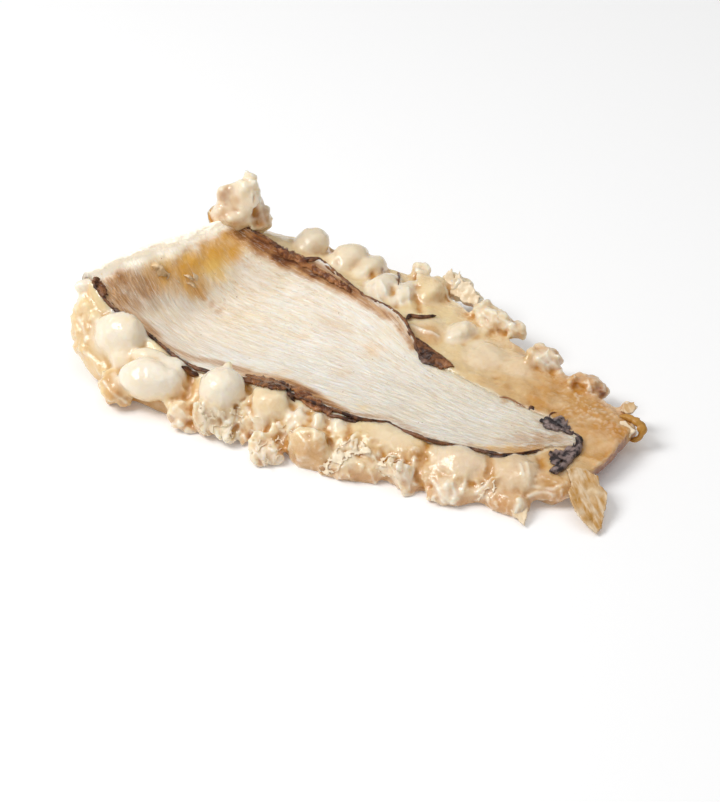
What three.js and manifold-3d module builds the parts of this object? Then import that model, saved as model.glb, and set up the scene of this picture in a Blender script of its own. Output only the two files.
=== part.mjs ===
// Stockfish belly: a cod's swim bladder, cut open and spread, as it is sold for cooking.
// A pale fibrous panel lies in a shallow trough that rises at the broad end.
// A border of soft lobes runs along both long sides, and torn shreds hang from its outer edge.
// Millimetres. +X runs from the broad end to the narrow end, +Y to the higher long side, +Z up.
// The origin is on the ground, under the middle of the piece.

import * as THREE from "three";
import { mergeVertices } from "three/addons/utils/BufferGeometryUtils.js";
import Module from "manifold-3d";

// Rails: five lines along the piece, each through nine stations from the broad end to the narrow end.
const RAIL_POINTS = {
  frontEdge: [
    [-93, -37, 15], [-88, -43, 12], [-74, -48, 8], [-48, -48, 6], [-18, -45, 6],
    [14, -43, 5], [44, -37, 5], [70, -31, 5], [88, -20, 5],
  ],
  frontRim: [
    [-92, -29, 29], [-86, -32, 26.5], [-70, -34, 20], [-46, -36.5, 14.5], [-18, -32.5, 14],
    [14, -30, 13.5], [44, -25, 12], [70, -17, 11], [91, -10, 9],
  ],
  floor: [
    [-81, -6, 33], [-74, -7, 25], [-62, -6, 11], [-38, -4, 8], [-12, -3, 8],
    [14, -4, 8], [44, -6, 8.5], [70, -4, 9], [93, 0, 9],
  ],
  backRim: [
    [-69, 19, 34], [-62, 21, 31], [-50, 24, 26.5], [-30, 27.5, 21.5], [-6, 24, 17.5],
    [16, 15, 14], [44, 9.5, 12], [70, 8.5, 11], [93, 11, 10],
  ],
  backEdge: [
    [-66, 31, 26], [-58, 38, 22], [-47, 46, 18], [-28, 49, 15], [-6, 50, 14],
    [20, 45, 12], [46, 37, 10], [70, 31, 10], [92, 24, 10],
  ],
};

// The spread sheet that everything else is fused to.
const SHEET = {
  stepsAlong: 44,
  stepsAcross: 26,
  borderShare: 0.27, // share of the steps across that each border takes
  troughPower: 2.3, // how flat the trough's floor stays before it rises to the rims
  rimLip: 1.1, // raised lip along both rims
  rimLipWidth: 0.1, // as a share of the half panel
  borderDrop: 1.7, // power of the fall from rim to outer edge
  gutter: 1.6, // depth of the groove just outside a rim, at the broad end
  gutterReach: 0.4, // share of the border that the groove takes
  gutterFade: 0.75, // share of its depth that is gone at the narrow end
  edgeThickness: 6,
  floorThickness: 9.5, // measured straight down, so the rising broad end keeps a wall of about 6
  leastThickness: 1.5,
  underside: -1.5, // before the ground plane trims it flat
  narrowEndLift: 4.5, // how far the narrow end's underside stands off the ground
  narrowEndReach: 0.14, // share of the length that lifts
  fibreDepth: 0.25, // long low furrows in the panel
  fibreCount: 9,
  raggedness: 0.9, // unevenness of the border
};

// Soft lobes: [along 0 to 1, reach from rim 0 to outer edge 1, lift, half sizes along, outward and up].
const FRONT_LOBES = [
  [0.1, 0.56, -3, 7, 6.5, 9.5],
  [0.235, 0.34, -2.5, 10.5, 9.5, 10],
  [0.345, 0.58, 0.5, 12, 8.5, 8],
  [0.46, 0.5, 5, 7.5, 7.5, 8.5],
  [0.53, 0.38, 0, 7.5, 7, 6],
  [0.585, 0.6, 1.5, 5.5, 6, 6],
  [0.625, 0.35, -0.5, 6.5, 6.5, 6],
  [0.61, 0.95, 0, 9, 7, 6],
  [0.695, 0.35, 0.3, 14, 9, 7],
  [0.8, 0.55, 0, 10, 8, 6],
  [0.885, 0.5, -0.5, 10, 8, 5],
];
const BACK_LOBES = [
  [0.225, 0.72, -0.5, 6, 10, 5.5],
  [0.335, 0.68, -1, 6.5, 11, 5.5],
  [0.405, 0.66, -0.8, 5.2, 11, 5],
  [0.468, 0.58, -1, 5.5, 10, 5],
  [0.535, 0.7, -0.4, 7.5, 10, 6.5],
  [0.642, 0.52, 0.4, 4.5, 8, 4.5],
  [0.72, 0.5, -1, 9, 9, 4],
];
// Soft lumps of the pale rim outside the broad end:
// [across -1 to 1, half sizes along the end, outward and up].
const END_LUMPS = [
  [-0.86, 7, 4.2, 5],
  [-0.52, 8, 3.8, 4.4],
  [-0.16, 7, 3.4, 4],
  [0.2, 8, 3.6, 4],
  [0.58, 9, 3.8, 4.6],
];
const END_LUMP_DROP = 4;

// Torn crags and shreds, in the same measures, with a turn from the outward line and a droop in degrees.
const FRONT_CRAGS = [
  [0.4, 1.0, -2, 4, 4.5, 3.5, 0, 20],
  [0.465, 1.1, 3, 7, 5.5, 7, 10, 25],
  [0.515, 1.1, 2.5, 6.5, 5, 5.5, -15, 40],
  [0.55, 1.3, 1, 5.5, 5.5, 4, 15, 35],
  [0.642, 1.1, 0.5, 7, 5, 4, 0, 30],
  [0.733, 0.95, 0.5, 4.5, 6.5, 5.5, 20, 45],
  [0.81, 1.02, -0.5, 6, 5, 4, 0, 20],
  [0.87, 1.05, -0.5, 5, 5, 4, 20, 25],
  [0.94, 1.35, -1, 2.6, 6.5, 2.8, 15, 25],
  [1.0, 0.1, -3, 4, 12, 2.2, 62, 24],
];
const BACK_CRAGS = [
  [0.49, 1.0, 3, 4, 2, 7, 0, -20],
  [0.565, 1.12, 1, 7, 5, 6, 10, -10],
  [0.665, 1.05, 1, 9, 5, 5, 0, 0],
  [0.7, 1.15, 0.5, 7.5, 2.4, 2.2, -15, 0],
  [0.782, 0.98, 1.5, 6, 5, 5.5, 0, -10],
  [0.888, 1.03, 0.3, 7, 5, 4.5, 0, 0],
  [0.985, 1.05, 0.5, 3.2, 4.5, 2.6, -40, -20],
  [0.99, 0.7, -2, 5, 5.5, 4, -60, 5],
];
// The twisted flap that stands up where the broad end meets the back rim, measured from that corner:
// [across the flap, up, half sizes across, thick and up].
const FLAP_TURN = 33;
const FLAP_CRAGS = [
  [5, 0.5, 10, 6.5, 8],
  [-2.5, 2, 5.5, 5, 6],
  [12.5, 0.5, 5.5, 5, 6],
  [4.5, 9, 6.5, 5, 6.5],
  [-1.3, 11, 2.6, 3, 4],
  [8.5, 13.5, 4, 3.6, 4.5],
  [8.5, 17.5, 2.4, 2.2, 2.6],
];
const LOBE_DETAIL = 2;
const CRAG_DETAIL = 1;
const CRAG_ROUGHNESS = 0.22;
const CRAG_WAVES = [9, 7, 8]; // waves round a crag of radius 1
const COARSE_WAVE = { perX: 0.23, perY: 0.31 }; // radians a millimetre
const FINE_WAVE = { perX: 0.71, perY: 0.83, perZ: 0.47, slant: 0.53 };
const COARSE_SHARE = 0.6;
const GROUND_SLAB = { length: 300, width: 200, depth: 40 };
const WELD = 1e-4; // points closer than this are one point
const FLESH = { color: 0xe8d3ae, roughness: 0.4, metalness: 0 };

const wasm = await Module();
wasm.setup();

const rails = Object.fromEntries(
  Object.entries(RAIL_POINTS).map(([name, points]) => [
    name,
    new THREE.CatmullRomCurve3(points.map((p) => new THREE.Vector3(...p)), false, "catmullrom", 0.5),
  ]),
);

// Smooth unevenness from -1 to 1, the same on every run.
function unevenness(x, y, z) {
  const coarse = Math.sin(COARSE_WAVE.perX * x) * Math.cos(COARSE_WAVE.perY * y);
  const slanted = Math.sin(FINE_WAVE.perX * x - FINE_WAVE.slant * y);
  const fine = slanted * Math.cos(FINE_WAVE.perZ * z + FINE_WAVE.perY * y);
  return COARSE_SHARE * coarse + (1 - COARSE_SHARE) * fine;
}

// Height of the border between rim and outer edge: a gutter, then a fall that starts slowly.
function borderHeight(rimZ, edgeZ, along, share) {
  const fall = rimZ + (edgeZ - rimZ) * share ** SHEET.borderDrop;
  const depth = SHEET.gutter * (1 - SHEET.gutterFade * along);
  return fall - depth * Math.sin(Math.PI * Math.min(1, share / SHEET.gutterReach));
}

// A point of the border: along is 0 to 1, share runs from the rim at 0 to the outer edge at 1.
function borderPoint(side, along, share) {
  const rim = rails[side + "Rim"].getPoint(along);
  const edge = rails[side + "Edge"].getPoint(along);
  const point = rim.clone().lerp(edge, share);
  point.z = borderHeight(rim.z, edge.z, along, share);
  point.z += SHEET.raggedness * share * unevenness(point.x, point.y, point.z);
  return point;
}

// A point of the panel: across runs from -1 at the front rim to 1 at the back rim.
function panelPoint(along, across) {
  const front = rails.frontRim.getPoint(along);
  const back = rails.backRim.getPoint(along);
  const floor = rails.floor.getPoint(along);
  const bow = front.clone().add(back).multiplyScalar(0.5).sub(floor).multiplyScalar(across * across);
  const point = back.clone().sub(front).multiplyScalar(across / 2).add(floor).add(bow);
  const rimZ = across < 0 ? front.z : back.z;
  const lip = SHEET.rimLip * Math.exp(-(((1 - Math.abs(across)) / SHEET.rimLipWidth) ** 2));
  const furrow = SHEET.fibreDepth * Math.cos(Math.PI * SHEET.fibreCount * across);
  point.z = floor.z + (rimZ - floor.z) * Math.abs(across) ** SHEET.troughPower + lip + furrow;
  return point;
}

function topPoint(along, across) {
  const share = SHEET.borderShare;
  if (across < share) return borderPoint("front", along, 1 - across / share);
  if (across > 1 - share) return borderPoint("back", along, (across - 1 + share) / share);
  return panelPoint(along, ((across - share) / (1 - 2 * share)) * 2 - 1);
}

// The underside is flat where the piece lies, and rises towards the outer edges and both ends.
function undersidePoint(along, across) {
  const point = topPoint(along, across);
  const fromMiddle = Math.abs(2 * across - 1);
  const edgeZ = rails[across < 0.5 ? "frontEdge" : "backEdge"].getPoint(along).z - SHEET.edgeThickness;
  const narrow = Math.max(0, 1 - (1 - along) / SHEET.narrowEndReach);
  const lifted = SHEET.underside + SHEET.narrowEndLift * narrow ** 2;
  const middleZ = Math.max(lifted, rails.floor.getPoint(along).z - SHEET.floorThickness);
  const z = Math.max(lifted, middleZ + (edgeZ - middleZ) * fromMiddle ** 3);
  point.z = Math.min(point.z - SHEET.leastThickness, z);
  return point;
}

// A closed geometry as a solid that can be joined and cut.
function solidOf(geometry) {
  geometry.deleteAttribute("normal");
  geometry.deleteAttribute("uv");
  const merged = mergeVertices(geometry, WELD);
  return new wasm.Manifold(
    new wasm.Mesh({
      numProp: 3,
      vertProperties: merged.attributes.position.array,
      triVerts: new Uint32Array(merged.index.array),
    }),
  );
}

function movePoints(geometry, move) {
  const position = geometry.attributes.position;
  const point = new THREE.Vector3();
  for (let i = 0; i < position.count; i++) {
    point.fromBufferAttribute(position, i);
    position.setXYZ(i, ...move(point).toArray());
  }
  return geometry;
}

function sheetSolid() {
  const block = new THREE.BoxGeometry(1, 1, 1, SHEET.stepsAlong, SHEET.stepsAcross, 1);
  const place = (p) => (p.z > 0 ? topPoint : undersidePoint)(p.x + 0.5, p.y + 0.5);
  return solidOf(movePoints(block, place));
}

// The frame of a lobe or crag: its middle, and axes along the piece, outward and up.
function borderFrame(side, along, reach, lift) {
  const rim = rails[side + "Rim"].getPoint(along);
  const edge = rails[side + "Edge"].getPoint(along);
  const middle = rim.clone().lerp(edge, reach);
  middle.z += lift;
  const outward = edge.clone().sub(rim).setZ(0).normalize();
  const up = new THREE.Vector3(0, 0, 1);
  const forward = outward.clone().cross(up);
  return new THREE.Matrix4().makeBasis(forward, outward, up).setPosition(middle);
}

function lobeSolid(side, [along, reach, lift, sizeAlong, sizeOut, sizeUp]) {
  const ball = new THREE.IcosahedronGeometry(1, LOBE_DETAIL);
  ball.scale(sizeAlong, sizeOut, sizeUp);
  return solidOf(ball.applyMatrix4(borderFrame(side, along, reach, lift)));
}

// A ball whose surface is pushed in and out, as torn flesh is.
function craggyBall(seed) {
  const ball = new THREE.IcosahedronGeometry(1, CRAG_DETAIL);
  const [wavesX, wavesY, wavesZ] = CRAG_WAVES;
  const bump = (p) => unevenness(wavesX * p.x + seed, wavesY * p.y - seed, wavesZ * p.z);
  return movePoints(ball, (p) => p.multiplyScalar(1 + CRAG_ROUGHNESS * bump(p)));
}

// A crag of the border is turned from the outward line and droops.
function cragSolid(side, [along, reach, lift, sizeAlong, sizeOut, sizeUp, turn, droop]) {
  const ball = craggyBall(40 * along + 7 * reach);
  ball.scale(sizeAlong, sizeOut, sizeUp);
  ball.rotateX(THREE.MathUtils.degToRad(-droop));
  ball.rotateZ(THREE.MathUtils.degToRad(turn));
  return solidOf(ball.applyMatrix4(borderFrame(side, along, reach, lift)));
}

function endLumpSolid([across, sizeAcross, sizeOut, sizeUp]) {
  const ball = new THREE.IcosahedronGeometry(1, LOBE_DETAIL);
  ball.scale(sizeAcross, sizeOut, sizeUp);
  const acrossEnd = rails.backRim.getPoint(0).sub(rails.frontRim.getPoint(0));
  ball.rotateZ(Math.atan2(acrossEnd.y, acrossEnd.x));
  const place = panelPoint(0, across);
  return solidOf(ball.translate(place.x, place.y, place.z - END_LUMP_DROP));
}

function flapCragSolid([across, up, sizeAcross, sizeThick, sizeUp]) {
  const ball = craggyBall(across + 3 * up);
  ball.scale(sizeAcross, sizeThick, sizeUp);
  ball.translate(across, 0, up);
  ball.rotateZ(THREE.MathUtils.degToRad(FLAP_TURN));
  return solidOf(ball.translate(...rails.backRim.getPoint(0).toArray()));
}

function groundSolid() {
  const { length, width, depth } = GROUND_SLAB;
  return solidOf(new THREE.BoxGeometry(length, width, depth).translate(0, 0, -depth / 2));
}

function bellySolid() {
  const pieces = [
    ...FRONT_LOBES.map((lobe) => lobeSolid("front", lobe)),
    ...BACK_LOBES.map((lobe) => lobeSolid("back", lobe)),
    ...FRONT_CRAGS.map((crag) => cragSolid("front", crag)),
    ...BACK_CRAGS.map((crag) => cragSolid("back", crag)),
    ...END_LUMPS.map(endLumpSolid),
    ...FLAP_CRAGS.map(flapCragSolid),
  ];
  const fused = pieces.reduce((whole, piece) => whole.add(piece), sheetSolid());
  return fused.subtract(groundSolid());
}

function geometryOf(solid) {
  const { vertProperties, triVerts } = solid.getMesh();
  const geometry = new THREE.BufferGeometry();
  geometry.setAttribute("position", new THREE.BufferAttribute(vertProperties, 3));
  geometry.setIndex(new THREE.BufferAttribute(triVerts, 1));
  geometry.computeVertexNormals();
  return geometry;
}

const belly = new THREE.Mesh(geometryOf(bellySolid()), new THREE.MeshStandardMaterial(FLESH));
belly.name = "stockfish_belly";
belly.geometry.computeBoundingBox();
const middle = belly.geometry.boundingBox.getCenter(new THREE.Vector3());
belly.position.set(-middle.x, -middle.y, 0);

const group = new THREE.Group();
group.add(belly);

export default group;
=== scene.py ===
import math
import random
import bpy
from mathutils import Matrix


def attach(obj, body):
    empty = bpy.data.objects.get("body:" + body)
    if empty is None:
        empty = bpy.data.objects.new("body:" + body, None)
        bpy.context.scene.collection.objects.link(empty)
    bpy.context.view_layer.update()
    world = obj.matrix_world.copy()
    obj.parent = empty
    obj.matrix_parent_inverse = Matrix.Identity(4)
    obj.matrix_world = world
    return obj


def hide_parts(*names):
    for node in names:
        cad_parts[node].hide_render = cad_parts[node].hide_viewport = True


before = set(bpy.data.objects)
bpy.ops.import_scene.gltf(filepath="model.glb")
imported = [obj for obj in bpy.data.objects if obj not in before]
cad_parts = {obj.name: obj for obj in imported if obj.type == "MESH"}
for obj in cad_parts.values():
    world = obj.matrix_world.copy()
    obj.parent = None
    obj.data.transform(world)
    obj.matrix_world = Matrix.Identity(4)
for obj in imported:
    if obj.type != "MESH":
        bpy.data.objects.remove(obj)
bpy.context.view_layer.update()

from types import SimpleNamespace

import bmesh
import bpy
import numpy as np
from mathutils import Matrix, Vector, noise
from mathutils.bvhtree import BVHTree
from mathutils.kdtree import KDTree

scene = bpy.context.scene

# everything is modelled in millimetres along five rails, then moved into the frame in metres
millimetre = 0.001
railShift = Vector((-1.482, -1.771, 0.0))
intoFrame = Matrix.Scale(millimetre, 4) @ Matrix.Translation(railShift)

rails = {
    "frontEdge": [(-93, -37, 15), (-88, -43, 12), (-74, -48, 8), (-48, -48, 6), (-18, -45, 6),
                  (14, -43, 5), (44, -37, 5), (70, -31, 5), (88, -20, 5)],
    "frontRim": [(-92, -29, 29), (-86, -32, 26.5), (-70, -34, 20), (-46, -36.5, 14.5), (-18, -32.5, 14),
                 (14, -30, 13.5), (44, -25, 12), (70, -17, 11), (91, -10, 9)],
    "floor": [(-81, -6, 33), (-74, -7, 25), (-62, -6, 11), (-38, -4, 8), (-12, -3, 8),
              (14, -4, 8), (44, -6, 8.5), (70, -4, 9), (93, 0, 9)],
    "backRim": [(-69, 19, 34), (-62, 21, 31), (-50, 24, 26.5), (-30, 27.5, 21.5), (-6, 24, 17.5),
                (16, 15, 14), (44, 9.5, 12), (70, 8.5, 11), (93, 11, 10)],
    "backEdge": [(-66, 31, 26), (-58, 38, 22), (-47, 46, 18), (-28, 49, 15), (-6, 50, 14),
                 (20, 45, 12), (46, 37, 10), (70, 31, 10), (92, 24, 10)],
}

sheet = {
    "stepsAlong": 240,
    "stepsAcross": 144,
    "borderShare": 0.27,      # share of the steps across that each border takes
    "troughPower": 2.3,       # how flat the trough stays before it rises to the rims
    "borderDrop": {           # along the piece, and the power of the fall from rim to outer edge
        "front": ((0.0, 0.4, 0.5, 1.0), (1.2, 1.2, 2.0, 2.4)),
        "back": ((0.0, 0.45, 0.55, 1.0), (1.0, 1.0, 1.8, 1.9)),
    },
    "gutter": 1.6,            # groove just outside a rim, at the broad end
    "gutterReach": 0.4,
    "gutterFade": 1.0,
    "edgeThickness": 6.0,
    "floorThickness": 9.5,
    "leastThickness": 1.5,
    "underside": 0.0,
    "narrowEndLift": 4.5,
    "narrowEndReach": 0.19,
    "endStretch": 1.5,        # the narrow end's back corner runs on a little, and the end droops
    "stretchFrom": 0.88,
    "endDroop": 0.6,
    "droopFrom": 0.94,
}


def smoothStep(low, high, value):
    t = np.clip((value - low) / (high - low), 0, 1)
    return t * t * (3 - 2 * t)


def padEnds(points):      # one more point at each end, straight on
    return np.vstack([2 * points[0] - points[1], points, 2 * points[-1] - points[-2]])


def cubicBetween(before, here, there, after, t):
    leave = 0.5 * (there - before)
    arrive = 0.5 * (after - here)
    cubic = 2 * here - 2 * there + leave + arrive
    square = -3 * here + 3 * there - 2 * leave - arrive
    return cubic * t ** 3 + square * t ** 2 + leave * t + here


def railAt(name, along):
    points = np.array(rails[name], float)
    padded = padEnds(points)
    spot = np.clip(np.asarray(along, float), 0, 1) * (len(points) - 1)
    start = np.minimum(spot.astype(int), len(points) - 2)
    t = (spot - start)[..., None]
    return cubicBetween(*(padded[start + step] for step in range(4)), t)


def borderAt(side, along, share):
    rim = railAt(side + "Rim", along)
    edge = railAt(side + "Edge", along)
    point = rim + (edge - rim) * share[..., None]
    drop = np.interp(along, *sheet["borderDrop"][side])
    fall = rim[..., 2] + (edge[..., 2] - rim[..., 2]) * share ** drop
    depth = sheet["gutter"] * (1 - sheet["gutterFade"] * along)
    point[..., 2] = fall - depth * np.sin(np.pi * np.minimum(1, share / sheet["gutterReach"]))
    return point


def panelAt(along, across):
    front = railAt("frontRim", along)
    back = railAt("backRim", along)
    floor = railAt("floor", along)
    bow = ((front + back) / 2 - floor) * (across ** 2)[..., None]
    point = floor + (back - front) * (across / 2)[..., None] + bow
    rimHeight = np.where(across < 0, front[..., 2], back[..., 2])
    rise = np.abs(across) ** sheet["troughPower"]
    point[..., 2] = floor[..., 2] + (rimHeight - floor[..., 2]) * rise
    return point


def topAt(along, across):     # across is 0 at the front edge and 1 at the back edge
    share = sheet["borderShare"]
    front = borderAt("front", along, np.clip(1 - across / share, 0, 1))
    back = borderAt("back", along, np.clip((across - 1 + share) / share, 0, 1))
    middle = panelAt(along, np.clip((across - share) / (1 - 2 * share) * 2 - 1, -1, 1))
    point = np.where((across < share)[..., None], front, middle)
    point = np.where((across > 1 - share)[..., None], back, point)
    point[..., 0] += sheet["endStretch"] * smoothStep(sheet["stretchFrom"], 1.0, along) * across ** 2
    point[..., 2] -= sheet["endDroop"] * smoothStep(sheet["droopFrom"], 1.0, along)
    return point


def undersideAt(along, across):
    point = topAt(along, across)
    frontEdge = railAt("frontEdge", along)[..., 2]
    backEdge = railAt("backEdge", along)[..., 2]
    edgeHeight = np.where(across < 0.5, frontEdge, backEdge) - sheet["edgeThickness"]
    fromMiddle = np.abs(2 * across - 1)
    narrow = np.maximum(0, 1 - (1 - along) / sheet["narrowEndReach"])
    lifted = sheet["underside"] + sheet["narrowEndLift"] * narrow ** 2
    middle = np.maximum(lifted, railAt("floor", along)[..., 2] - sheet["floorThickness"])
    height = np.maximum(lifted, middle + (edgeHeight - middle) * fromMiddle ** 3)
    point[..., 2] = np.minimum(point[..., 2] - sheet["leastThickness"], height)
    return point


def grain(points, size, seed, octaves=2):     # soft noise from about -1 to 1, size in millimetres
    scaled = (np.asarray(points, float) / size + seed * 7.31).tolist()
    return np.array([noise.fractal(p, 1.0, 2.0, octaves) for p in scaled])


def crumple(points, size, seed, octaves=3):   # sharp creased noise from 0 to about 1
    scaled = (np.asarray(points, float) / size + seed * 7.31).tolist()
    return np.array([noise.ridged_multi_fractal(p, 1.0, 2.1, octaves, 1.0, 2.0) for p in scaled]) / 2


def vertexArray(mesh, name="co"):
    values = np.empty(len(mesh.vertices) * 3, np.float32)
    mesh.vertices.foreach_get(name, values)
    return values.reshape(-1, 3).astype(float)


def moveVertices(mesh, points):
    mesh.vertices.foreach_set("co", np.ascontiguousarray(points, np.float32).ravel())
    mesh.update()


def relax(mesh, points, rounds, strength=0.5):
    ends = np.empty(len(mesh.edges) * 2, np.int32)
    mesh.edges.foreach_get("vertices", ends)
    first, second = ends.reshape(-1, 2).T
    count = np.bincount(ends, minlength=len(points))[:, None]
    for _ in range(rounds):
        total = np.empty_like(points)
        for axis in range(3):
            total[:, axis] = np.bincount(first, points[second, axis], len(points))
            total[:, axis] += np.bincount(second, points[first, axis], len(points))
        points = points + (total / np.maximum(count, 1) - points) * strength
    return points


def keepValue(mesh, name, values):
    attribute = mesh.attributes.new(name, "FLOAT", "POINT")
    attribute.data.foreach_set("value", np.ascontiguousarray(np.clip(values, 0, 1), np.float32))


def triangleCount(mesh):
    return sum(len(face.vertices) - 2 for face in mesh.polygons)


def meshFrom(bm, name):
    mesh = bpy.data.meshes.new(name)
    bm.to_mesh(mesh)
    bm.free()
    return mesh


def pointTree(spots):
    tree = KDTree(len(spots))
    for index, spot in enumerate(spots):
        tree.insert(spot, index)
    tree.balance()
    return tree


def makePiece(name, mesh, material):
    mesh.transform(intoFrame)
    mesh.shade_smooth()
    piece = bpy.data.objects.new(name, mesh)
    scene.collection.objects.link(piece)
    mesh.materials.append(material)
    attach(piece, "root")
    print(name, "made with", triangleCount(mesh), "triangles")
    return piece


# camera, at the photograph's angle: 33 degrees round and 36 degrees up
view = {"azimuth": 33, "elevation": 36, "distance": 850, "aim": (0, 0, 8),
        "pixelsPerMillimetre": 2.95, "aimPixel": (360, 370), "imageSize": (720, 802), "sensor": 36}


def viewAxes():      # to the camera's right, up, and back towards it
    turn = math.radians(view["azimuth"])
    tilt = math.radians(view["elevation"])
    right = Vector((math.cos(turn), math.sin(turn), 0))
    back = Vector((math.sin(turn) * math.cos(tilt), -math.cos(turn) * math.cos(tilt), math.sin(tilt)))
    return right, back.cross(right), back


def photoRay(pixel):
    right, up, back = viewAxes()
    focal = view["pixelsPerMillimetre"] * view["distance"]
    across = (pixel[0] - view["aimPixel"][0]) / focal
    down = (pixel[1] - view["aimPixel"][1]) / focal
    return Vector(view["aim"]) + back * view["distance"], (right * across - up * down - back).normalized()


def photoSpot(pixel, height):      # the point at that height which the photograph shows at that pixel
    eye, ray = photoRay(pixel)
    return eye + ray * ((height - eye.z) / ray.z)


def meshSurface(mesh):
    return BVHTree.FromPolygons(vertexArray(mesh).tolist(), [list(face.vertices) for face in mesh.polygons])


def onSurface(surfaces, pixel, lift=0.0):      # the nearest point of the meshes at a pixel, and its normal
    eye, ray = photoRay(pixel)
    hits = [hit for hit in (tree.ray_cast(eye, ray) for tree in surfaces) if hit[0]]
    if not hits:
        print("nothing at pixel", pixel)
        return photoSpot(pixel, 3.0), Vector((0, 0, 1))
    spot, normal, face, distance = min(hits, key=lambda hit: hit[3])
    return spot + normal * lift, normal


def throughPoints(points, spacing):      # a smooth line through given points
    points = np.array(points, float)
    padded = padEnds(points)
    line = []
    for index in range(len(points) - 1):
        around = padded[index:index + 4]
        steps = max(2, int(np.linalg.norm(around[2] - around[1]) / spacing))
        for t in np.linspace(0, 1, steps, endpoint=False):
            line.append(cubicBetween(*around, t))
    return np.array(line + [points[-1]])


def outlineDepth(outline, spot):      # how far inside a closed outline a pixel lies, negative outside
    x, y = spot
    inside = False
    nearest = math.inf
    for (x0, y0), (x1, y1) in zip(outline, outline[1:] + outline[:1]):
        if (y0 > y) != (y1 > y) and x < (x1 - x0) * (y - y0) / (y1 - y0) + x0:
            inside = not inside
        run = ((x - x0) * (x1 - x0) + (y - y0) * (y1 - y0)) / ((x1 - x0) ** 2 + (y1 - y0) ** 2)
        run = min(max(run, 0), 1)
        nearest = min(nearest, math.hypot(x - x0 - run * (x1 - x0), y - y0 - run * (y1 - y0)))
    return nearest if inside else -nearest


# thin torn sheets: smoothing of the shell, and the noise of their torn edges and webs, by the pixel
thinSheet = {"smoothing": 0.4, "edgeNoise": 0.25, "webNoise": 0.12, "webLevel": 1.25}


def thicken(leaf, thick):      # a shell from a single sheet, then one pass of smoothing
    leaf.normal_update()
    shell = bmesh.ops.extrude_face_region(leaf, geom=leaf.faces[:], use_keep_orig=True)["geom"]
    for vert in shell:
        if isinstance(vert, bmesh.types.BMVert):
            vert.co -= vert.normal * thick
    bmesh.ops.recalc_face_normals(leaf, faces=leaf.faces[:])
    axes = {"use_axis_" + name: True for name in "xyz"}
    bmesh.ops.smooth_vert(leaf, verts=leaf.verts[:], factor=thinSheet["smoothing"], **axes)


def pourInto(bm, leaf):
    part = meshFrom(leaf, "part")
    bm.from_mesh(part)
    bpy.data.meshes.remove(part)


def addPatch(bm, outline, place, tone, look, seed):
    corners = np.array(outline, float)
    low = corners.min(0) - 1
    size = np.ptp(corners, axis=0) + 2
    columns, rows = (max(8, round(side / look["step"])) for side in size)
    leaf = bmesh.new()
    for name in tone(outline[0], 0.0):
        leaf.verts.layers.float.new(name)
    bmesh.ops.create_grid(leaf, x_segments=columns, y_segments=rows, size=0.5)
    outside = []
    for vert in leaf.verts:
        pixel = low + size * (np.array(vert.co.xy) + 0.5)
        depth = outlineDepth(outline, pixel)
        edgeSpot = (*(pixel * thinSheet["edgeNoise"]), seed)
        depth += look["ragged"] * noise.fractal(edgeSpot, 1.0, 2.0, 4)
        webSpot = (*(pixel * thinSheet["webNoise"]), seed)
        web = noise.ridged_multi_fractal(webSpot, 1.0, 2.1, 2, 1.0, 2.0)
        if depth < 0 or web < thinSheet["webLevel"] * look["open"]:
            outside.append(vert)
            continue
        spot, normal = place(pixel)
        crease = noise.fractal(spot * look["creaseScale"] + Vector((seed, 0, seed)), 1.0, 2.0, 3)
        vert.co = spot + normal * look["relief"] * crease
        for name, value in tone(pixel, depth).items():
            vert[leaf.verts.layers.float[name]] = value
    bmesh.ops.delete(leaf, geom=outside, context="VERTS")
    loose = [vert for vert in leaf.verts if not vert.link_faces]
    bmesh.ops.delete(leaf, geom=loose, context="VERTS")
    thicken(leaf, look["thick"])
    pourInto(bm, leaf)


def addCamera():
    back = viewAxes()[2]
    wide, high = view["imageSize"]
    data = bpy.data.cameras.new("bellyCamera")
    data.sensor_width = view["sensor"]
    data.lens = view["pixelsPerMillimetre"] * view["distance"] * view["sensor"] / high
    data.shift_x = (wide / 2 - view["aimPixel"][0]) / high
    data.shift_y = (view["aimPixel"][1] - high / 2) / high
    data.clip_start = 0.01
    data.clip_end = 20
    camera = bpy.data.objects.new("bellyCamera", data)
    camera.location = intoFrame @ (Vector(view["aim"]) + back * view["distance"])
    camera.rotation_mode = "QUATERNION"
    camera.rotation_quaternion = (-back).to_track_quat("-Z", "Y")
    scene.collection.objects.link(camera)
    scene.camera = camera


addCamera()
print("camera set")


# shader helpers
def setInputs(shader, values):
    for name, value in values.items():
        shader.inputs[name].default_value = value


def newMaterial(name):
    material = bpy.data.materials.new(name)
    material.use_nodes = True
    nodes = material.node_tree.nodes
    nodes.clear()
    output = nodes.new("ShaderNodeOutputMaterial")
    shader = nodes.new("ShaderNodeBsdfPrincipled")
    material.node_tree.links.new(shader.outputs["BSDF"], output.inputs["Surface"])
    return material, shader


def join(tree, value, socket):     # a link where value is a socket, else a plain number or colour
    if isinstance(value, bpy.types.NodeSocket):
        tree.links.new(value, socket)
    else:
        socket.default_value = value


def mixColour(tree, share, first, second, kind="MIX"):
    mix = tree.nodes.new("ShaderNodeMix")
    mix.data_type = "RGBA"
    mix.blend_type = kind
    join(tree, share, mix.inputs["Factor"])
    join(tree, first, mix.inputs["A"])
    join(tree, second, mix.inputs["B"])
    return mix.outputs["Result"]


def sums(tree, kind, first, second=0.0, third=0.0, clamp=False):
    node = tree.nodes.new("ShaderNodeMath")
    node.operation = kind
    node.use_clamp = clamp
    for value, socket in zip((first, second, third), node.inputs):
        join(tree, value, socket)
    return node.outputs[0]


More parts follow.
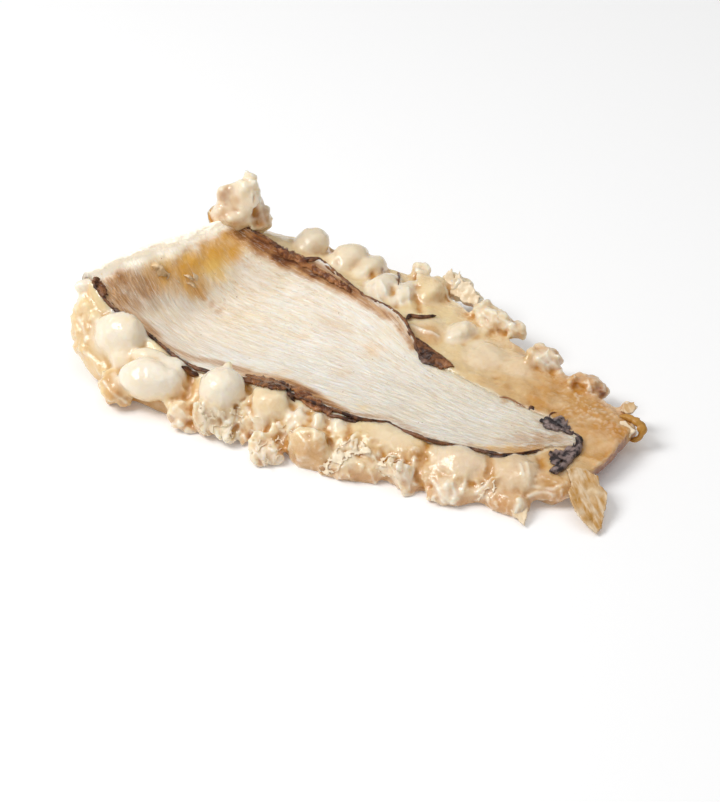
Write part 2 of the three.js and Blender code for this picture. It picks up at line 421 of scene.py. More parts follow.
def remap(tree, value, low, high, newLow=0.0, newHigh=1.0):
    node = tree.nodes.new("ShaderNodeMapRange")
    node.interpolation_type = "SMOOTHSTEP"
    join(tree, value, node.inputs["Value"])
    for name, number in (("From Min", low), ("From Max", high), ("To Min", newLow), ("To Max", newHigh)):
        node.inputs[name].default_value = number
    return node.outputs["Result"]


def readValue(tree, name):
    node = tree.nodes.new("ShaderNodeAttribute")
    node.attribute_name = name
    return node.outputs["Fac"]


def noiseNode(tree, vector, scale, detail=3.0, rough=0.5, warp=0.0):
    node = tree.nodes.new("ShaderNodeTexNoise")
    node.inputs["Scale"].default_value = scale
    node.inputs["Detail"].default_value = detail
    node.inputs["Roughness"].default_value = rough
    node.inputs["Distortion"].default_value = warp
    join(tree, vector, node.inputs["Vector"])
    return node.outputs["Fac"]


def bumpNode(tree, height, strength, distance):
    node = tree.nodes.new("ShaderNodeBump")
    node.inputs["Strength"].default_value = strength
    node.inputs["Distance"].default_value = distance
    join(tree, height, node.inputs["Height"])
    return node.outputs["Normal"]


def srgb(red, green, blue):
    channel = [value / 255 for value in (red, green, blue)]
    linear = [c / 12.92 if c <= 0.04045 else ((c + 0.055) / 1.055) ** 2.4 for c in channel]
    return (*linear, 1.0)


# shared group: blotches and wet wrinkles of the flesh, by object coordinates
def makeFleshGrain():
    group = bpy.data.node_groups.new("fleshGrain", "ShaderNodeTree")
    for name in ("Blotch Scale", "Wrinkle Scale"):
        group.interface.new_socket(name, in_out="INPUT", socket_type="NodeSocketFloat")
    for name in ("Blotch", "Wrinkle", "Fleck"):
        group.interface.new_socket(name, in_out="OUTPUT", socket_type="NodeSocketFloat")
    given = group.nodes.new("NodeGroupInput")
    result = group.nodes.new("NodeGroupOutput")
    place = group.nodes.new("ShaderNodeTexCoord").outputs["Object"]
    blotch = noiseNode(group, place, 1.0, 3.0, 0.55, 0.4)
    group.links.new(given.outputs["Blotch Scale"], blotch.node.inputs["Scale"])
    wrinkle = noiseNode(group, place, 1.0, 4.0, 0.6, 0.8)
    group.links.new(given.outputs["Wrinkle Scale"], wrinkle.node.inputs["Scale"])
    fleck = noiseNode(group, place, 900.0, 1.0)
    group.links.new(blotch, result.inputs["Blotch"])
    group.links.new(wrinkle, result.inputs["Wrinkle"])
    group.links.new(fleck, result.inputs["Fleck"])
    return group


fleshGrain = makeFleshGrain()


def addFleshGrain(tree, blotchScale, wrinkleScale):
    node = tree.nodes.new("ShaderNodeGroup")
    node.node_tree = fleshGrain
    node.inputs["Blotch Scale"].default_value = blotchScale
    node.inputs["Wrinkle Scale"].default_value = wrinkleScale
    return node.outputs


# the lining's outline, which the body also needs: along the piece, and across from rim to rim
panel = {
    "stepsAlong": 300,
    "stepsAcross": 170,
    "startAlong": -0.026,     # below nothing it rolls outward over the end wall
    "rollDrop": 4.0,
    "endLip": 1.8,
    "rollOut": (-0.902, 0.432, 0.0),
    "endAlong": 0.945,
    "frontLimit": ((0.0, 0.05, 0.21, 0.295, 0.4, 0.475, 0.555, 0.645, 0.675, 0.71, 0.75, 0.8, 0.855,
                    0.885, 0.905, 0.945),
                   (-1.0, -0.96, -1.03, -0.94, -1.03, -0.98, -1.0, -1.0, -0.84, -0.95, -1.03, -1.0,
                    -1.06, -0.5, 0.0, 0.3)),
    "backLimit": ((0.0, 0.07, 0.21, 0.305, 0.34, 0.405, 0.46, 0.52, 0.56, 0.61, 0.635, 0.7, 0.8, 0.87,
                   0.945),
                  (1.03, 1.03, 1.03, 0.98, 1.05, 1.0, 0.98, 1.05, 1.08, 1.0, 0.86, 0.95, 1.0, 0.97,
                   0.6)),
    "lift": 0.5,
    "lipHeight": 0.5,
    "lipWidth": 0.035,
    "ragged": 0.02,
    "skirt": 2.2,
    "lengthScale": 190.0,     # millimetres of fibre pattern along and across the sheet
    "acrossScale": 26.0,
    "fibreLength": 8.0,       # how much longer than wide the fibres are
    "wallFoldLength": 3.0,
    "endLipAlong": 0.004,
    "endLipWidth": 0.02,
    "bareSink": 0.9,          # how far the edge dips into the body where it has no rim
    "amberSmear": (2.6, 1.5),
    "brownSmear": (1.4, 0.8),
    "bandSteps": 6,
    "leftEndShade": 0.16,
    "smudge": (0.445, 0.55, 0.03, 0.14, 0.4),      # along, across, length, width, strength
    "amberSpots": [           # pixel, radius, strength; on the end wall this amber is painted shade on its inner face, with the wall's own amber
        ((152, 268), 6.0, 0.7), ((168, 274), 9.0, 0.9), ((190, 266), 10.0, 1.0), ((210, 257), 10.0, 1.0),
        ((228, 246), 9.0, 1.0), ((196, 286), 7.0, 0.9), ((178, 288), 5.0, 0.6), ((215, 272), 6.0, 0.8),
        ((240, 249), 5.0, 0.6), ((205, 246), 6.0, 0.9), ((225, 237), 6.0, 0.8), ((160, 284), 6.0, 0.6),
        ((478, 446), 2.6, 0.5), ((492, 448), 3.4, 0.7), ((507, 449), 3.8, 0.8), ((522, 450), 3.8, 0.8),
        ((536, 449), 3.2, 0.7), ((330, 398), 3.0, 0.35), ((362, 408), 3.0, 0.35), ((282, 372), 3.5, 0.3),
        ((300, 336), 4.0, 0.25), ((372, 350), 5.0, 0.25), ((345, 372), 4.0, 0.22),
    ],
    "brownSpots": [
        ((98, 280), 4.0, 0.55), ((104, 287), 5.0, 0.55), ((114, 282), 6.0, 0.6), ((124, 278), 6.0, 0.65),
        ((112, 296), 5.0, 0.62), ((122, 300), 6.0, 0.66), ((118, 290), 6.0, 0.55), ((134, 284), 7.0, 0.6),
        ((146, 288), 7.0, 0.55), ((150, 302), 6.0, 0.3), ((132, 304), 6.0, 0.55), ((128, 311), 4.0, 0.5),
        ((198, 290), 3.0, 0.6), ((203, 297), 2.6, 0.6), ((212, 305), 2.4, 0.45), ((221, 311), 2.2, 0.4),
        ((470, 444), 2.0, 0.4), ((505, 400), 2.0, 0.4), ((517, 405), 1.6, 0.5), ((502, 441), 4.0, 0.3),
        ((522, 438), 4.0, 0.36), ((540, 437), 4.0, 0.42), ((556, 438), 3.4, 0.42), ((541, 424), 3.0, 0.3),
    ],
    "brownBands": [           # the same, joined up into bands
        [((96, 282), 3.5, 0.6), ((107, 299), 4.6, 0.6), ((119, 311), 5.0, 0.6), ((133, 317), 5.0, 0.6),
         ((151, 331), 4.8, 0.6), ((161, 344), 4.4, 0.6), ((173, 350), 4.0, 0.55), ((191, 358), 4.0, 0.5),
         ((225, 365), 3.6, 0.5), ((251, 374), 4.4, 0.6), ((271, 378), 4.6, 0.65), ((289, 383), 5.0, 0.8),
         ((307, 392), 5.4, 0.9), ((327, 404), 4.6, 0.8), ((353, 414), 3.4, 0.55), ((390, 418), 2.4, 0.4),
         ((430, 438), 2.6, 0.45), ((460, 446), 2.8, 0.5), ((490, 450), 3.4, 0.5), ((520, 450), 3.2, 0.5),
         ((540, 446), 2.8, 0.45)],
        [((239, 231), 4.6, 0.95), ((262, 244), 5.4, 1.0), ((291, 260), 5.0, 1.0), ((320, 275), 4.2, 0.8),
         ((350, 289), 4.0, 0.8), ((372, 305), 3.0, 0.6), ((396, 320), 2.4, 0.6), ((413, 346), 2.2, 0.6)],
    ],
}


def panelNormal(along, across):
    step = 0.004
    along = np.clip(along, step, 1 - step)
    forward = panelAt(along + step, across) - panelAt(along - step, across)
    sideways = panelAt(along, across + step) - panelAt(along, across - step)
    normal = np.cross(forward, sideways)
    return normal / np.linalg.norm(normal, axis=-1, keepdims=True)


def lineNoise(values, size, seed):      # one ragged line, by its own length
    return np.array([noise.fractal((value / size, seed, 0.3 * seed), 1.0, 2.0, 4) for value in values])


# the body: gelatinous border, soft lobes and torn crags in one skin
# lobes and crags stand at a pixel of the photograph and a height, with half sizes along, outward and up
gel = {
    "voxel": 0.6,
    "blendRounds": 6,
    "triangles": 190000,
    "undersideSlope": -0.4,  # faces that look down more than this, below the height, are thinned
    "undersideHeight": 6,
    "hollowRounds": (60, 20, 8),      # rounds of smoothing that find wide, middling and fine hollows
    "frontLobes": [          # pixel, height, half sizes, turn, milkiness
        ((122, 340), 14.0, (10.0, 8.5, 10.5), 10, 0.9),
        ((128, 357), 11.0, (6.5, 7.0, 7.0), 0, 0.75),
        ((150, 380), 11.5, (11.5, 7.0, 7.0), 35, 1.0),
        ((168, 372), 12.5, (7.5, 5.5, 5.0), 35, 0.9),
        ((150, 358), 15.0, (7.0, 3.2, 3.4), 30, 0.7),
        ((222, 389), 13.5, (8.0, 7.5, 7.5), 0, 1.0),
        ((208, 415), 6.5, (5.0, 5.5, 7.5), 0, 0.35),
        ((271, 404), 11.0, (8.8, 7.0, 6.4), 0, 0.3),
        ((298, 421), 9.0, (4.6, 4.6, 5.0), 0, 0.7),
        ((319, 427), 9.0, (3.6, 4.8, 5.0), 0, 0.6),
        ((339, 429), 9.0, (4.2, 4.8, 4.6), 0, 0.65),
        ((309, 450), 5.0, (8.5, 4.8, 8.5), 0, 0.15),
        ((388, 442), 7.2, (12.5, 7.5, 5.6), 0, 0.3),
        ((362, 468), 2.5, (8.0, 5.0, 5.5), 0, 0.1),
        ((458, 463), 7.4, (10.0, 7.5, 5.6), 0, 0.5),
        ((452, 487), 3.0, (9.5, 5.0, 5.0), 0, 0.25),
        ((515, 474), 6.6, (9.5, 8.0, 5.2), 0, 0.35),
        ((505, 500), 2.5, (9.0, 5.0, 4.0), 0, 0.1),
        ((550, 486), 4.5, (8.0, 5.0, 5.0), 10, 0.0),
    ],
    "backLobes": [
        ((312, 242), 22.0, (6.0, 6.8, 4.6), 0, 0.7),
        ((348, 259), 18.5, (6.2, 8.8, 4.8), 0, 0.6),
        ((369, 270), 16.5, (5.2, 8.2, 4.4), 0, 0.6),
        ((382, 290), 15.5, (6.0, 9.0, 5.0), 0, 0.8),
        ((404, 298), 14.0, (4.6, 8.5, 5.0), 0, 0.7),
        ((431, 296), 13.0, (5.6, 9.0, 6.0), 0, 0.1),
        ((427, 332), 11.5, (8.0, 7.5, 3.8), 0, 0.15),
        ((460, 336), 11.5, (4.6, 7.0, 4.6), 0, 0.75),
        ((484, 360), 9.5, (9.0, 9.0, 4.0), 0, 0.4),
        ((515, 370), 8.5, (9.0, 9.0, 3.8), 0, 0.3),
    ],
    "frontCrags": [          # pixel, height, half sizes, turn and droop in degrees
        ((180, 413), 4.5, (4.6, 4.0, 4.0), 0, 20),
        ((168, 402), 6.0, (1.9, 1.9, 1.7), 0, 0),
        ((117, 389), 5.5, (7.0, 5.5, 5.5), 0, 0),
        ((228, 366), 19.0, (1.6, 1.5, 1.6), 0, 0),
        ((258, 425), 6.5, (4.2, 2.4, 5.4), 10, 15),
        ((268, 450), 3.0, (5.5, 4.0, 4.5), -15, 30),
        ((345, 466), 3.5, (7.0, 4.5, 5.0), 0, 30),
        ((402, 476), 4.0, (4.4, 3.6, 6.2), 20, 25),
        ((447, 494), 2.5, (5.5, 3.6, 4.6), 0, 20),
        ((520, 508), 2.0, (2.8, 3.6, 4.6), 15, 25),
    ],
    "backCrags": [
        ((420, 274), 14.5, (3.4, 3.0, 4.6), 0, 0),
        ((455, 287), 13.0, (6.0, 4.0, 4.8), 10, -10),
        ((492, 318), 12.5, (8.5, 4.0, 4.2), 0, 0),
        ((517, 330), 12.0, (4.0, 3.2, 2.2), 0, 0),
        ((545, 360), 11.0, (5.6, 4.4, 4.4), 0, -10),
        ((588, 387), 9.0, (6.5, 4.6, 3.6), 0, 0),
        ((628, 409), 9.0, (2.6, 3.0, 2.2), -30, 0),
    ],
    # root pixel, tip pixel, tip height, widths at root, middle and tip, thickness, curl
    "flaps": [
        ((186, 398), (168, 410), 4.0, (7.0, 8.0, 5.0), 2.6, 0.2),
        ((188, 404), (184, 430), 1.5, (8.0, 9.0, 7.0), 2.4, 0.2),
        ((208, 408), (208, 438), 1.2, (9.0, 10.0, 7.0), 1.8, 0.2),
        ((222, 408), (224, 442), 1.0, (8.0, 8.0, 5.0), 1.8, 0.3),
        ((236, 406), (238, 446), 0.8, (8.0, 9.0, 6.0), 1.8, 0.2),
        ((248, 404), (262, 438), 5.0, (7.0, 8.0, 8.0), 3.0, 0.1),
        ((266, 436), (262, 464), 1.0, (8.0, 9.0, 7.0), 1.6, 0.2),
        ((280, 430), (276, 456), 1.5, (5.0, 7.0, 5.0), 1.6, 0.2),
        ((292, 424), (280, 446), 2.5, (5.0, 6.0, 4.0), 1.6, 0.3),
        ((350, 440), (326, 474), 1.5, (9.0, 11.0, 8.0), 3.0, 0.2),
        ((352, 446), (372, 458), 5.0, (7.0, 7.0, 5.0), 2.5, 0.3),
        ((376, 452), (390, 470), 3.0, (8.0, 8.0, 6.0), 2.4, 0.3),
        ((398, 456), (408, 494), 1.0, (9.0, 9.5, 4.0), 2.4, 0.1),
        ((438, 476), (446, 505), 1.0, (10.0, 12.0, 8.0), 2.4, 0.2),
        ((458, 482), (464, 500), 1.0, (6.0, 7.0, 5.0), 2.0, 0.2),
        ((484, 482), (487, 500), 1.5, (7.0, 8.0, 5.0), 2.0, 0.3),
        ((500, 480), (497, 498), 2.0, (6.0, 7.0, 5.0), 1.8, 0.3),
        ((426, 281), (419, 261), 17.5, (6.0, 5.5, 3.5), 2.2, 0.1),
        ((458, 292), (467, 280), 15.5, (7.0, 8.0, 4.0), 1.8, 0.2),
        ((470, 304), (478, 296), 14.0, (7.0, 8.0, 6.0), 2.0, 0.2),
        ((482, 314), (500, 311), 13.5, (8.0, 9.0, 6.0), 2.4, 0.2),
        ((494, 324), (513, 322), 13.0, (8.0, 9.0, 6.0), 2.4, 0.2),
        ((507, 331), (526, 332), 12.5, (6.0, 6.0, 3.0), 2.0, 0.1),
        ((538, 364), (534, 349), 14.5, (7.0, 9.0, 7.0), 2.6, 0.2),
        ((547, 366), (555, 351), 14.0, (8.0, 9.0, 7.0), 2.8, 0.2),
        ((552, 372), (561, 366), 10.5, (7.0, 8.0, 6.0), 2.4, 0.2),
        ((578, 390), (588, 380), 11.5, (8.0, 9.0, 6.0), 2.4, 0.2),
        ((592, 392), (602, 386), 10.0, (5.0, 6.0, 4.0), 2.0, 0.2),
    ],
    "flapTurn": 33,
    "flapCrags": [           # pixel, height, half sizes across, thick and up
        ((241, 224), 31.0, (10.5, 6.0, 5.5)),
        ((240, 213), 36.0, (9.0, 5.0, 6.0)),
        ((221, 215), 35.0, (4.6, 4.2, 4.8)),
        ((247, 201), 41.0, (4.8, 4.0, 9.0)),
        ((260, 215), 35.0, (3.6, 3.2, 5.2)),
        ((223, 196), 42.0, (2.4, 2.6, 4.2)),
        ((233, 200), 40.5, (4.0, 3.0, 4.0)),
        ((229, 190), 44.0, (2.0, 1.8, 2.4)),
        ((239, 187), 45.5, (4.0, 2.0, 2.2)),
        ((250, 179), 48.5, (2.4, 2.0, 2.2)),
        ((247, 173), 50.5, (1.1, 1.0, 1.8)),
    ],
    "cragRoughness": 0.32,
    "endLumps": [            # across -1 to 1, half sizes along the end, outward and up
        (-0.86, 9.0, 2.8, 3.8),
        (-0.50, 10.5, 2.4, 3.4),
        (-0.10, 10.5, 2.2, 3.0),
        (0.30, 10.5, 2.4, 3.2),
        (0.66, 9.0, 2.8, 3.6),
    ],
    "endLumpDrop": 5.6,
    "fatCrumbs": 90,         # small lumps of fat at the front corner of the broad end
    "fatSeed": 11,
    "crumbs": [              # pixel and radius of small white crumbs
        ((321, 466), 1.3), ((329, 473), 1.2), ((376, 460), 1.3), ((382, 467), 1.5), ((390, 463), 1.2),
        ((384, 474), 1.1), ((398, 467), 1.1), ((286, 431), 1.1), ((168, 402), 1.4), ((174, 409), 1.1),
        ((426, 481), 1.0), ((433, 484), 1.1), ((578, 382), 1.1), ((585, 384), 1.2), ((593, 383), 1.1),
        ((532, 352), 1.3), ((541, 347), 1.3), ((550, 350), 1.3), ((557, 356), 1.2), ((475, 309), 1.1),
        ((488, 311), 1.2), ((505, 318), 1.2), ((186, 430), 1.2), ((180, 424), 1.2),
    ],
    "folds": [               # pixels along pale raised folds
        [(204, 402), (202, 412), (205, 424), (204, 434)],
        [(214, 408), (224, 420), (223, 432), (226, 443)],
        [(238, 408), (236, 421), (230, 430), (226, 442)], [(243, 420), (238, 434), (241, 445)],
        [(224, 421), (230, 423), (236, 421)], [(251, 434), (256, 443), (258, 450)],
        [(246, 408), (252, 422), (262, 436)],
        [(282, 440), (276, 451), (271, 462)], [(265, 443), (264, 455), (263, 462)],
        [(252, 450), (259, 456), (269, 461)],
        [(278, 424), (283, 434), (282, 441)], [(293, 424), (285, 434)], [(291, 443), (288, 450)],
        [(346, 442), (336, 455), (329, 468)], [(352, 447), (362, 452), (374, 457)],
        [(378, 454), (386, 462), (392, 470)],
        [(394, 457), (392, 471), (400, 487)], [(414, 457), (412, 473), (409, 489)],
        [(402, 460), (404, 474)],
        [(432, 480), (440, 490), (444, 503)], [(452, 484), (455, 494), (452, 503)],
        [(466, 480), (462, 492)],
        [(476, 493), (486, 485), (491, 477)], [(476, 500), (484, 496), (489, 499), (489, 504)],
        [(520, 464), (523, 475)], [(526, 463), (529, 474)],
        [(534, 486), (543, 488), (553, 489), (561, 485)],
        [(529, 496), (537, 493), (545, 492), (552, 494)], [(446, 288), (452, 299), (462, 305)],
        [(452, 281), (460, 292), (468, 302)], [(456, 300), (470, 311)],
        [(474, 306), (486, 316), (498, 322)],
        [(486, 309), (500, 318), (514, 326)], [(532, 352), (540, 360), (548, 366)],
        [(546, 350), (550, 360), (558, 368)],
        [(374, 284), (378, 296), (384, 305)], [(380, 280), (386, 292), (390, 302)],
        [(398, 290), (401, 304)],
        [(408, 288), (409, 303)], [(412, 326), (424, 330), (438, 336)],
        [(240, 186), (238, 200), (232, 214)], [(250, 180), (248, 196), (252, 212)],
        [(226, 192), (228, 206), (222, 218)], [(258, 200), (262, 214), (266, 226)],
        [(78, 318), (84, 330), (86, 342)],
        [(84, 352), (94, 362), (100, 374)], [(104, 382), (114, 394), (126, 402)],
    ],
    "grooves": [             # pixels along the creases between the lobes
        [(188, 370), (191, 384), (187, 396)], [(248, 384), (250, 396), (248, 408)],
        [(290, 398), (294, 408), (289, 420)], [(308, 412), (311, 424), (308, 436)],
        [(327, 416), (329, 427), (328, 440)], [(346, 421), (349, 432), (345, 444)],
        [(429, 441), (424, 452), (420, 466), (418, 480)], [(488, 456), (491, 466), (488, 478)],
        [(540, 458), (541, 470), (536, 482)], [(331, 244), (334, 252), (338, 262)],
        [(373, 272), (372, 282), (376, 292)], [(393, 286), (394, 296), (396, 306)],
        [(417, 286), (417, 298), (420, 310)], [(234, 192), (234, 206), (228, 220)],
        [(245, 186), (243, 200), (244, 218)], [(254, 196), (256, 210), (258, 224)],
    ],
    "grooveWidth": 1.4,
    "grooveDepth": 0.9,
    "liningGap": 1.2,        # how far the body stays below the lining, at its rims and further in
    "deepGap": 3.0,
    "foldHeight": 0.6,
    "foldWidth": 0.6,
    "lineSpacing": 0.4,
    "amberSpots": [          # pixel, radius, strength; partly the gel's own amber, partly painted shade in the creases between lobes
        ((112, 378), 5.0, 0.8), ((114, 392), 5.0, 0.8), ((98, 382), 4.0, 0.5), ((128, 400), 5.0, 0.5),
        ((150, 408), 6.0, 0.6), ((186, 390), 5.0, 1.0),
        ((86, 325), 3.5, 0.7), ((84, 346), 9.0, 0.3), ((80, 330), 7.0, 0.3), ((92, 363), 7.0, 0.35),
        ((130, 360), 2.5, 0.5), ((193, 416), 3.0, 0.8), ((300, 440), 3.0, 0.4),
        ((362, 470), 6.0, 0.5), ((420, 470), 5.0, 0.8), ((456, 480), 1.8, 1.0), ((486, 482), 4.0, 0.5),
        ((500, 503), 5.0, 0.7), ((535, 489), 5.0, 0.6), ((590, 465), 8.0, 0.3), ((317, 247), 3.2, 0.8),
        ((356, 264), 3.5, 0.6), ((377, 273), 3.0, 0.8), ((440, 300), 4.0, 0.5), ((475, 337), 2.5, 0.9),
        ((502, 340), 4.0, 0.5), ((520, 352), 4.0, 0.7), ((545, 375), 4.0, 0.9), ((508, 387), 4.0, 0.8),
        ((552, 384), 3.0, 0.6), ((497, 380), 3.0, 0.4), ((221, 216), 5.0, 1.0), ((262, 218), 5.0, 1.0),
        ((236, 224), 6.0, 0.6), ((222, 197), 3.0, 1.0),
        ((236, 200), 2.5, 1.0), ((228, 190), 2.5, 0.8), ((309, 455), 9.0, 1.0), ((427, 334), 7.0, 0.9),
        ((548, 497), 8.0, 0.9), ((570, 420), 8.0, 0.5), ((596, 440), 7.0, 0.9), ((548, 400), 8.0, 0.5),
        ((590, 393), 6.0, 0.95), ((472, 382), 5.0, 0.4), ((620, 424), 6.0, 0.6),
    ],
    "paleSpots": [
        ((547, 360), 6.0, 0.9), ((402, 475), 7.0, 0.7), ((447, 492), 7.0, 0.8), ((258, 422), 6.0, 0.7),
        ((485, 315), 7.0, 0.6), ((510, 328), 5.0, 0.6), ((246, 194), 8.0, 0.7), ((208, 418), 7.0, 0.6),
        ((345, 458), 6.0, 0.6), ((180, 414), 6.0, 0.6), ((228, 430), 7.0, 0.6),
        ((266, 452), 6.0, 0.6), ((385, 465), 5.0, 0.7), ((484, 492), 5.0, 0.5), ((521, 510), 4.0, 0.7),
        ((422, 268), 5.0, 0.6), ((528, 478), 5.0, 0.6),
    ],
    "fleckSpots": [
        ((585, 398), 9.0, 1.0), ((600, 412), 9.0, 1.0), ((575, 411), 8.0, 0.8), ((613, 428), 7.0, 0.7),
        ((560, 394), 6.0, 0.5), ((535, 478), 5.0, 0.5),
    ],
    "stains": [
        ((222, 194), 3.0, 0.35), ((229, 189), 2.6, 0.35), ((266, 214), 3.4, 0.35),
        ((262, 222), 4.0, 0.35),
        ((383, 271), 1.6, 0.8), ((398, 280), 1.2, 1.0), ((600, 389), 2.0, 0.9),
        ((603, 394), 1.5, 0.8), ((512, 402), 1.6, 0.7), ((521, 406), 1.4, 0.7), ((504, 398), 1.4, 0.6),
        ((172, 418), 1.8, 0.6), ((638, 426), 3.0, 0.5),
    ],
}


def nearestAlong(side, spot):
    along = np.linspace(0, 1, 401)
    middle = (railAt(side + "Rim", along) + railAt(side + "Edge", along)) / 2
    return along[np.argmin(((middle - np.array(spot))[:, :2] ** 2).sum(1))]


def borderTurn(side, along):     # axes along the border, outward and up
    rim = Vector(railAt(side + "Rim", along))
    edge = Vector(railAt(side + "Edge", along))
    outward = Vector((edge.x - rim.x, edge.y - rim.y, 0)).normalized()
    up = Vector((0, 0, 1))
    return Matrix((outward.cross(up), outward, up)).transposed().to_4x4()


def borderFrame(side, along, reach, lift):
    rim = Vector(railAt(side + "Rim", along))
    edge = Vector(railAt(side + "Edge", along))
    return Matrix.Translation(rim.lerp(edge, reach) + Vector((0, 0, lift))) @ borderTurn(side, along)


def pixelFrame(side, pixel, height, turn=0.0, droop=0.0):
    spot = photoSpot(pixel, height)
    place = Matrix.Translation(spot) @ borderTurn(side, nearestAlong(side, spot))
    place = place @ Matrix.Rotation(math.radians(turn), 4, "Z")
    return place @ Matrix.Rotation(math.radians(-droop), 4, "X")


def addBall(bm, place, sizes, roughness=0.0, seed=0.0, subdivisions=4):
    ball = bmesh.ops.create_icosphere(bm, subdivisions=subdivisions, radius=1)["verts"]
    for vert in ball:
        vert.co *= 1 + roughness * noise.fractal(vert.co * 1.7 + Vector((seed, -seed, 3)), 1.0, 2.0, 3)
    bmesh.ops.transform(bm, matrix=place @ Matrix.Diagonal((*sizes, 1)), verts=ball)
    return ball


def addSheet(bm):
    bmesh.ops.create_grid(bm, x_segments=sheet["stepsAlong"], y_segments=sheet["stepsAcross"], size=0.5)
    lower = bm.verts[:]
    raised = bmesh.ops.extrude_face_region(bm, geom=bm.faces[:])["geom"]
    upper = [item for item in raised if isinstance(item, bmesh.types.BMVert)]
    for verts, surface in ((lower, undersideAt), (upper, topAt)):
        spots = np.array([vert.co for vert in verts])
        for vert, point in zip(verts, surface(spots[:, 0] + 0.5, spots[:, 1] + 0.5)):
            vert.co = point


def addLobesAndCrags(bm):
    for side in ("front", "back"):
        for pixel, height, sizes, turn, milk in gel[side + "Lobes"]:
            addBall(bm, pixelFrame(side, pixel, height, turn), sizes, 0.08, pixel[0])
        for pixel, height, sizes, turn, droop in gel[side + "Crags"]:
            addBall(bm, pixelFrame(side, pixel, height, turn, droop), sizes, gel["cragRoughness"], pixel[0])
    flapTurn = Matrix.Rotation(math.radians(gel["flapTurn"]), 4, "Z")
    for pixel, height, sizes in gel["flapCrags"]:
        place = Matrix.Translation(photoSpot(pixel, height)) @ flapTurn
        addBall(bm, place, sizes, gel["cragRoughness"], pixel[1])


def flakeGirth(widths, run):      # a smooth curve through the three widths
    root, middle, tip = widths
    bulge = 2 * middle - (root + tip) / 2
    return root * (1 - run) ** 2 + 2 * bulge * run * (1 - run) + tip * run ** 2


def addFlake(bm, root, tip, widths, thick, curl, seed, cell=0.8):
    pick = random.Random(seed)
    axis = Vector(tip) - Vector(root)
    rootDepth = 1.5
    length = axis.length + rootDepth
    axis.normalize()
    sideways = axis.cross(viewAxes()[2]).normalized()
    place = Matrix((sideways, axis, sideways.cross(axis))).transposed().to_4x4()
    place = Matrix.Translation(root) @ place @ Matrix.Rotation(pick.uniform(-0.4, 0.4), 4, "Y")
    leaf = bmesh.new()
    columns = max(8, round(max(widths) / cell))
    rows = max(8, round(length / cell))
    bmesh.ops.create_grid(leaf, x_segments=columns, y_segments=rows, size=0.5)
    folds = pick.uniform(0.6, 1.2)
    phase = pick.uniform(0, 6)
    for vert in leaf.verts:
        side, run = vert.co.x * 2, vert.co.y + 0.5
        ragged = noise.fractal((run * length / 6 + seed, 1.5 if side > 0 else -1.5, seed), 1.0, 2.0, 3)
        torn = noise.fractal((side * max(widths) / 7, seed * 1.7, 4), 1.0, 2.0, 3)
        girth = flakeGirth(widths, run) / 2 * (1 + 0.28 * ragged)
        reach = run * (1 + run * (0.22 * torn - 0.18 * side * side))
        fold = math.sin(side * math.pi * folds + phase + 2 * run) * 0.08 * max(widths) * (0.3 + run)
        crease = noise.fractal((side * 1.1, run * 2.0, seed * 2.3), 1.0, 2.0, 3) * 0.12 * max(widths)
        rise = curl * length * reach ** 2 * 0.5 + fold + crease
        vert.co = (side * girth, reach * length - rootDepth, rise)
    thicken(leaf, thick)
    bmesh.ops.transform(leaf, matrix=place, verts=leaf.verts[:])
    for vert in leaf.verts:
        vert.co.z = max(vert.co.z, 0.0)
    pourInto(bm, leaf)


def addFlaps(bm):
    rough = [BVHTree.FromBMesh(bm)]
    for index, (rootPixel, tipPixel, height, widths, thick, curl) in enumerate(gel["flaps"]):
        root = onSurface(rough, rootPixel)[0]
        addFlake(bm, root, photoSpot(tipPixel, height), widths, thick, curl, index * 2.9 + 1)


def addFat(bm):
    endLine = Vector(railAt("backRim", 0)) - Vector(railAt("frontRim", 0))
    endTurn = Matrix.Rotation(math.atan2(endLine.y, endLine.x), 4, "Z")
    for across, *sizes in gel["endLumps"]:
        middle = Vector(panelAt(np.float64(0), np.float64(across))) - Vector((0, 0, gel["endLumpDrop"]))
        addBall(bm, Matrix.Translation(middle) @ endTurn, sizes, 0.15, across * 9)
    pick = random.Random(gel["fatSeed"])
    for index in range(gel["fatCrumbs"]):
        along = pick.uniform(0.0, 0.17)
        place = borderFrame("front", along, pick.uniform(0.35, 0.95), pick.uniform(-6.0, 0.5))
        size = pick.uniform(1.0, 2.2)
        addBall(bm, place, (size * 1.2, size, size), 0.3, index * 3.1, 3)


def addCrumbs(bm):
    rough = [BVHTree.FromBMesh(bm)]
    for pixel, radius in gel["crumbs"]:
        spot = onSurface(rough, pixel)[0]
        addBall(bm, Matrix.Translation(spot), (radius * 1.2, radius, radius), 0.3, pixel[0], 3)


def lineMask(points, surface, lines, width):      # 1 along lines given in pixels, broken by noise
    spotLines = [[onSurface(surface, pixel)[0] for pixel in line] for line in lines]
    spots = np.concatenate([throughPoints(line, gel["lineSpacing"]) for line in spotLines])
    tree = pointTree(spots)
    distance = np.array([tree.find(point)[2] for point in points.tolist()])
    return np.exp(-(distance / width) ** 2) * np.clip(wave(points, "lineBreaks"), 0, 1)


def evaluatedMesh(source, name, modifierKind, settings, weights=None):
    holder = bpy.data.objects.new(name, source)
    scene.collection.objects.link(holder)
    modifier = holder.modifiers.new(name, modifierKind)
    for setting, value in settings.items():
        setattr(modifier, setting, value)
    if weights is not None:
        group = holder.vertex_groups.new(name="hidden")
        group.add(np.flatnonzero(weights).tolist(), 1.0, "REPLACE")
        modifier.vertex_group = group.name
    evaluated = holder.evaluated_get(bpy.context.evaluated_depsgraph_get())
    mesh = bpy.data.meshes.new_from_object(evaluated)
    bpy.data.objects.remove(holder)
    bpy.data.meshes.remove(source)
    return mesh


def remeshed(bm, voxel):
    bmesh.ops.recalc_face_normals(bm, faces=bm.faces[:])
    return evaluatedMesh(meshFrom(bm, "rough"), "skin", "REMESH", {"mode": "VOXEL", "voxel_size": voxel})


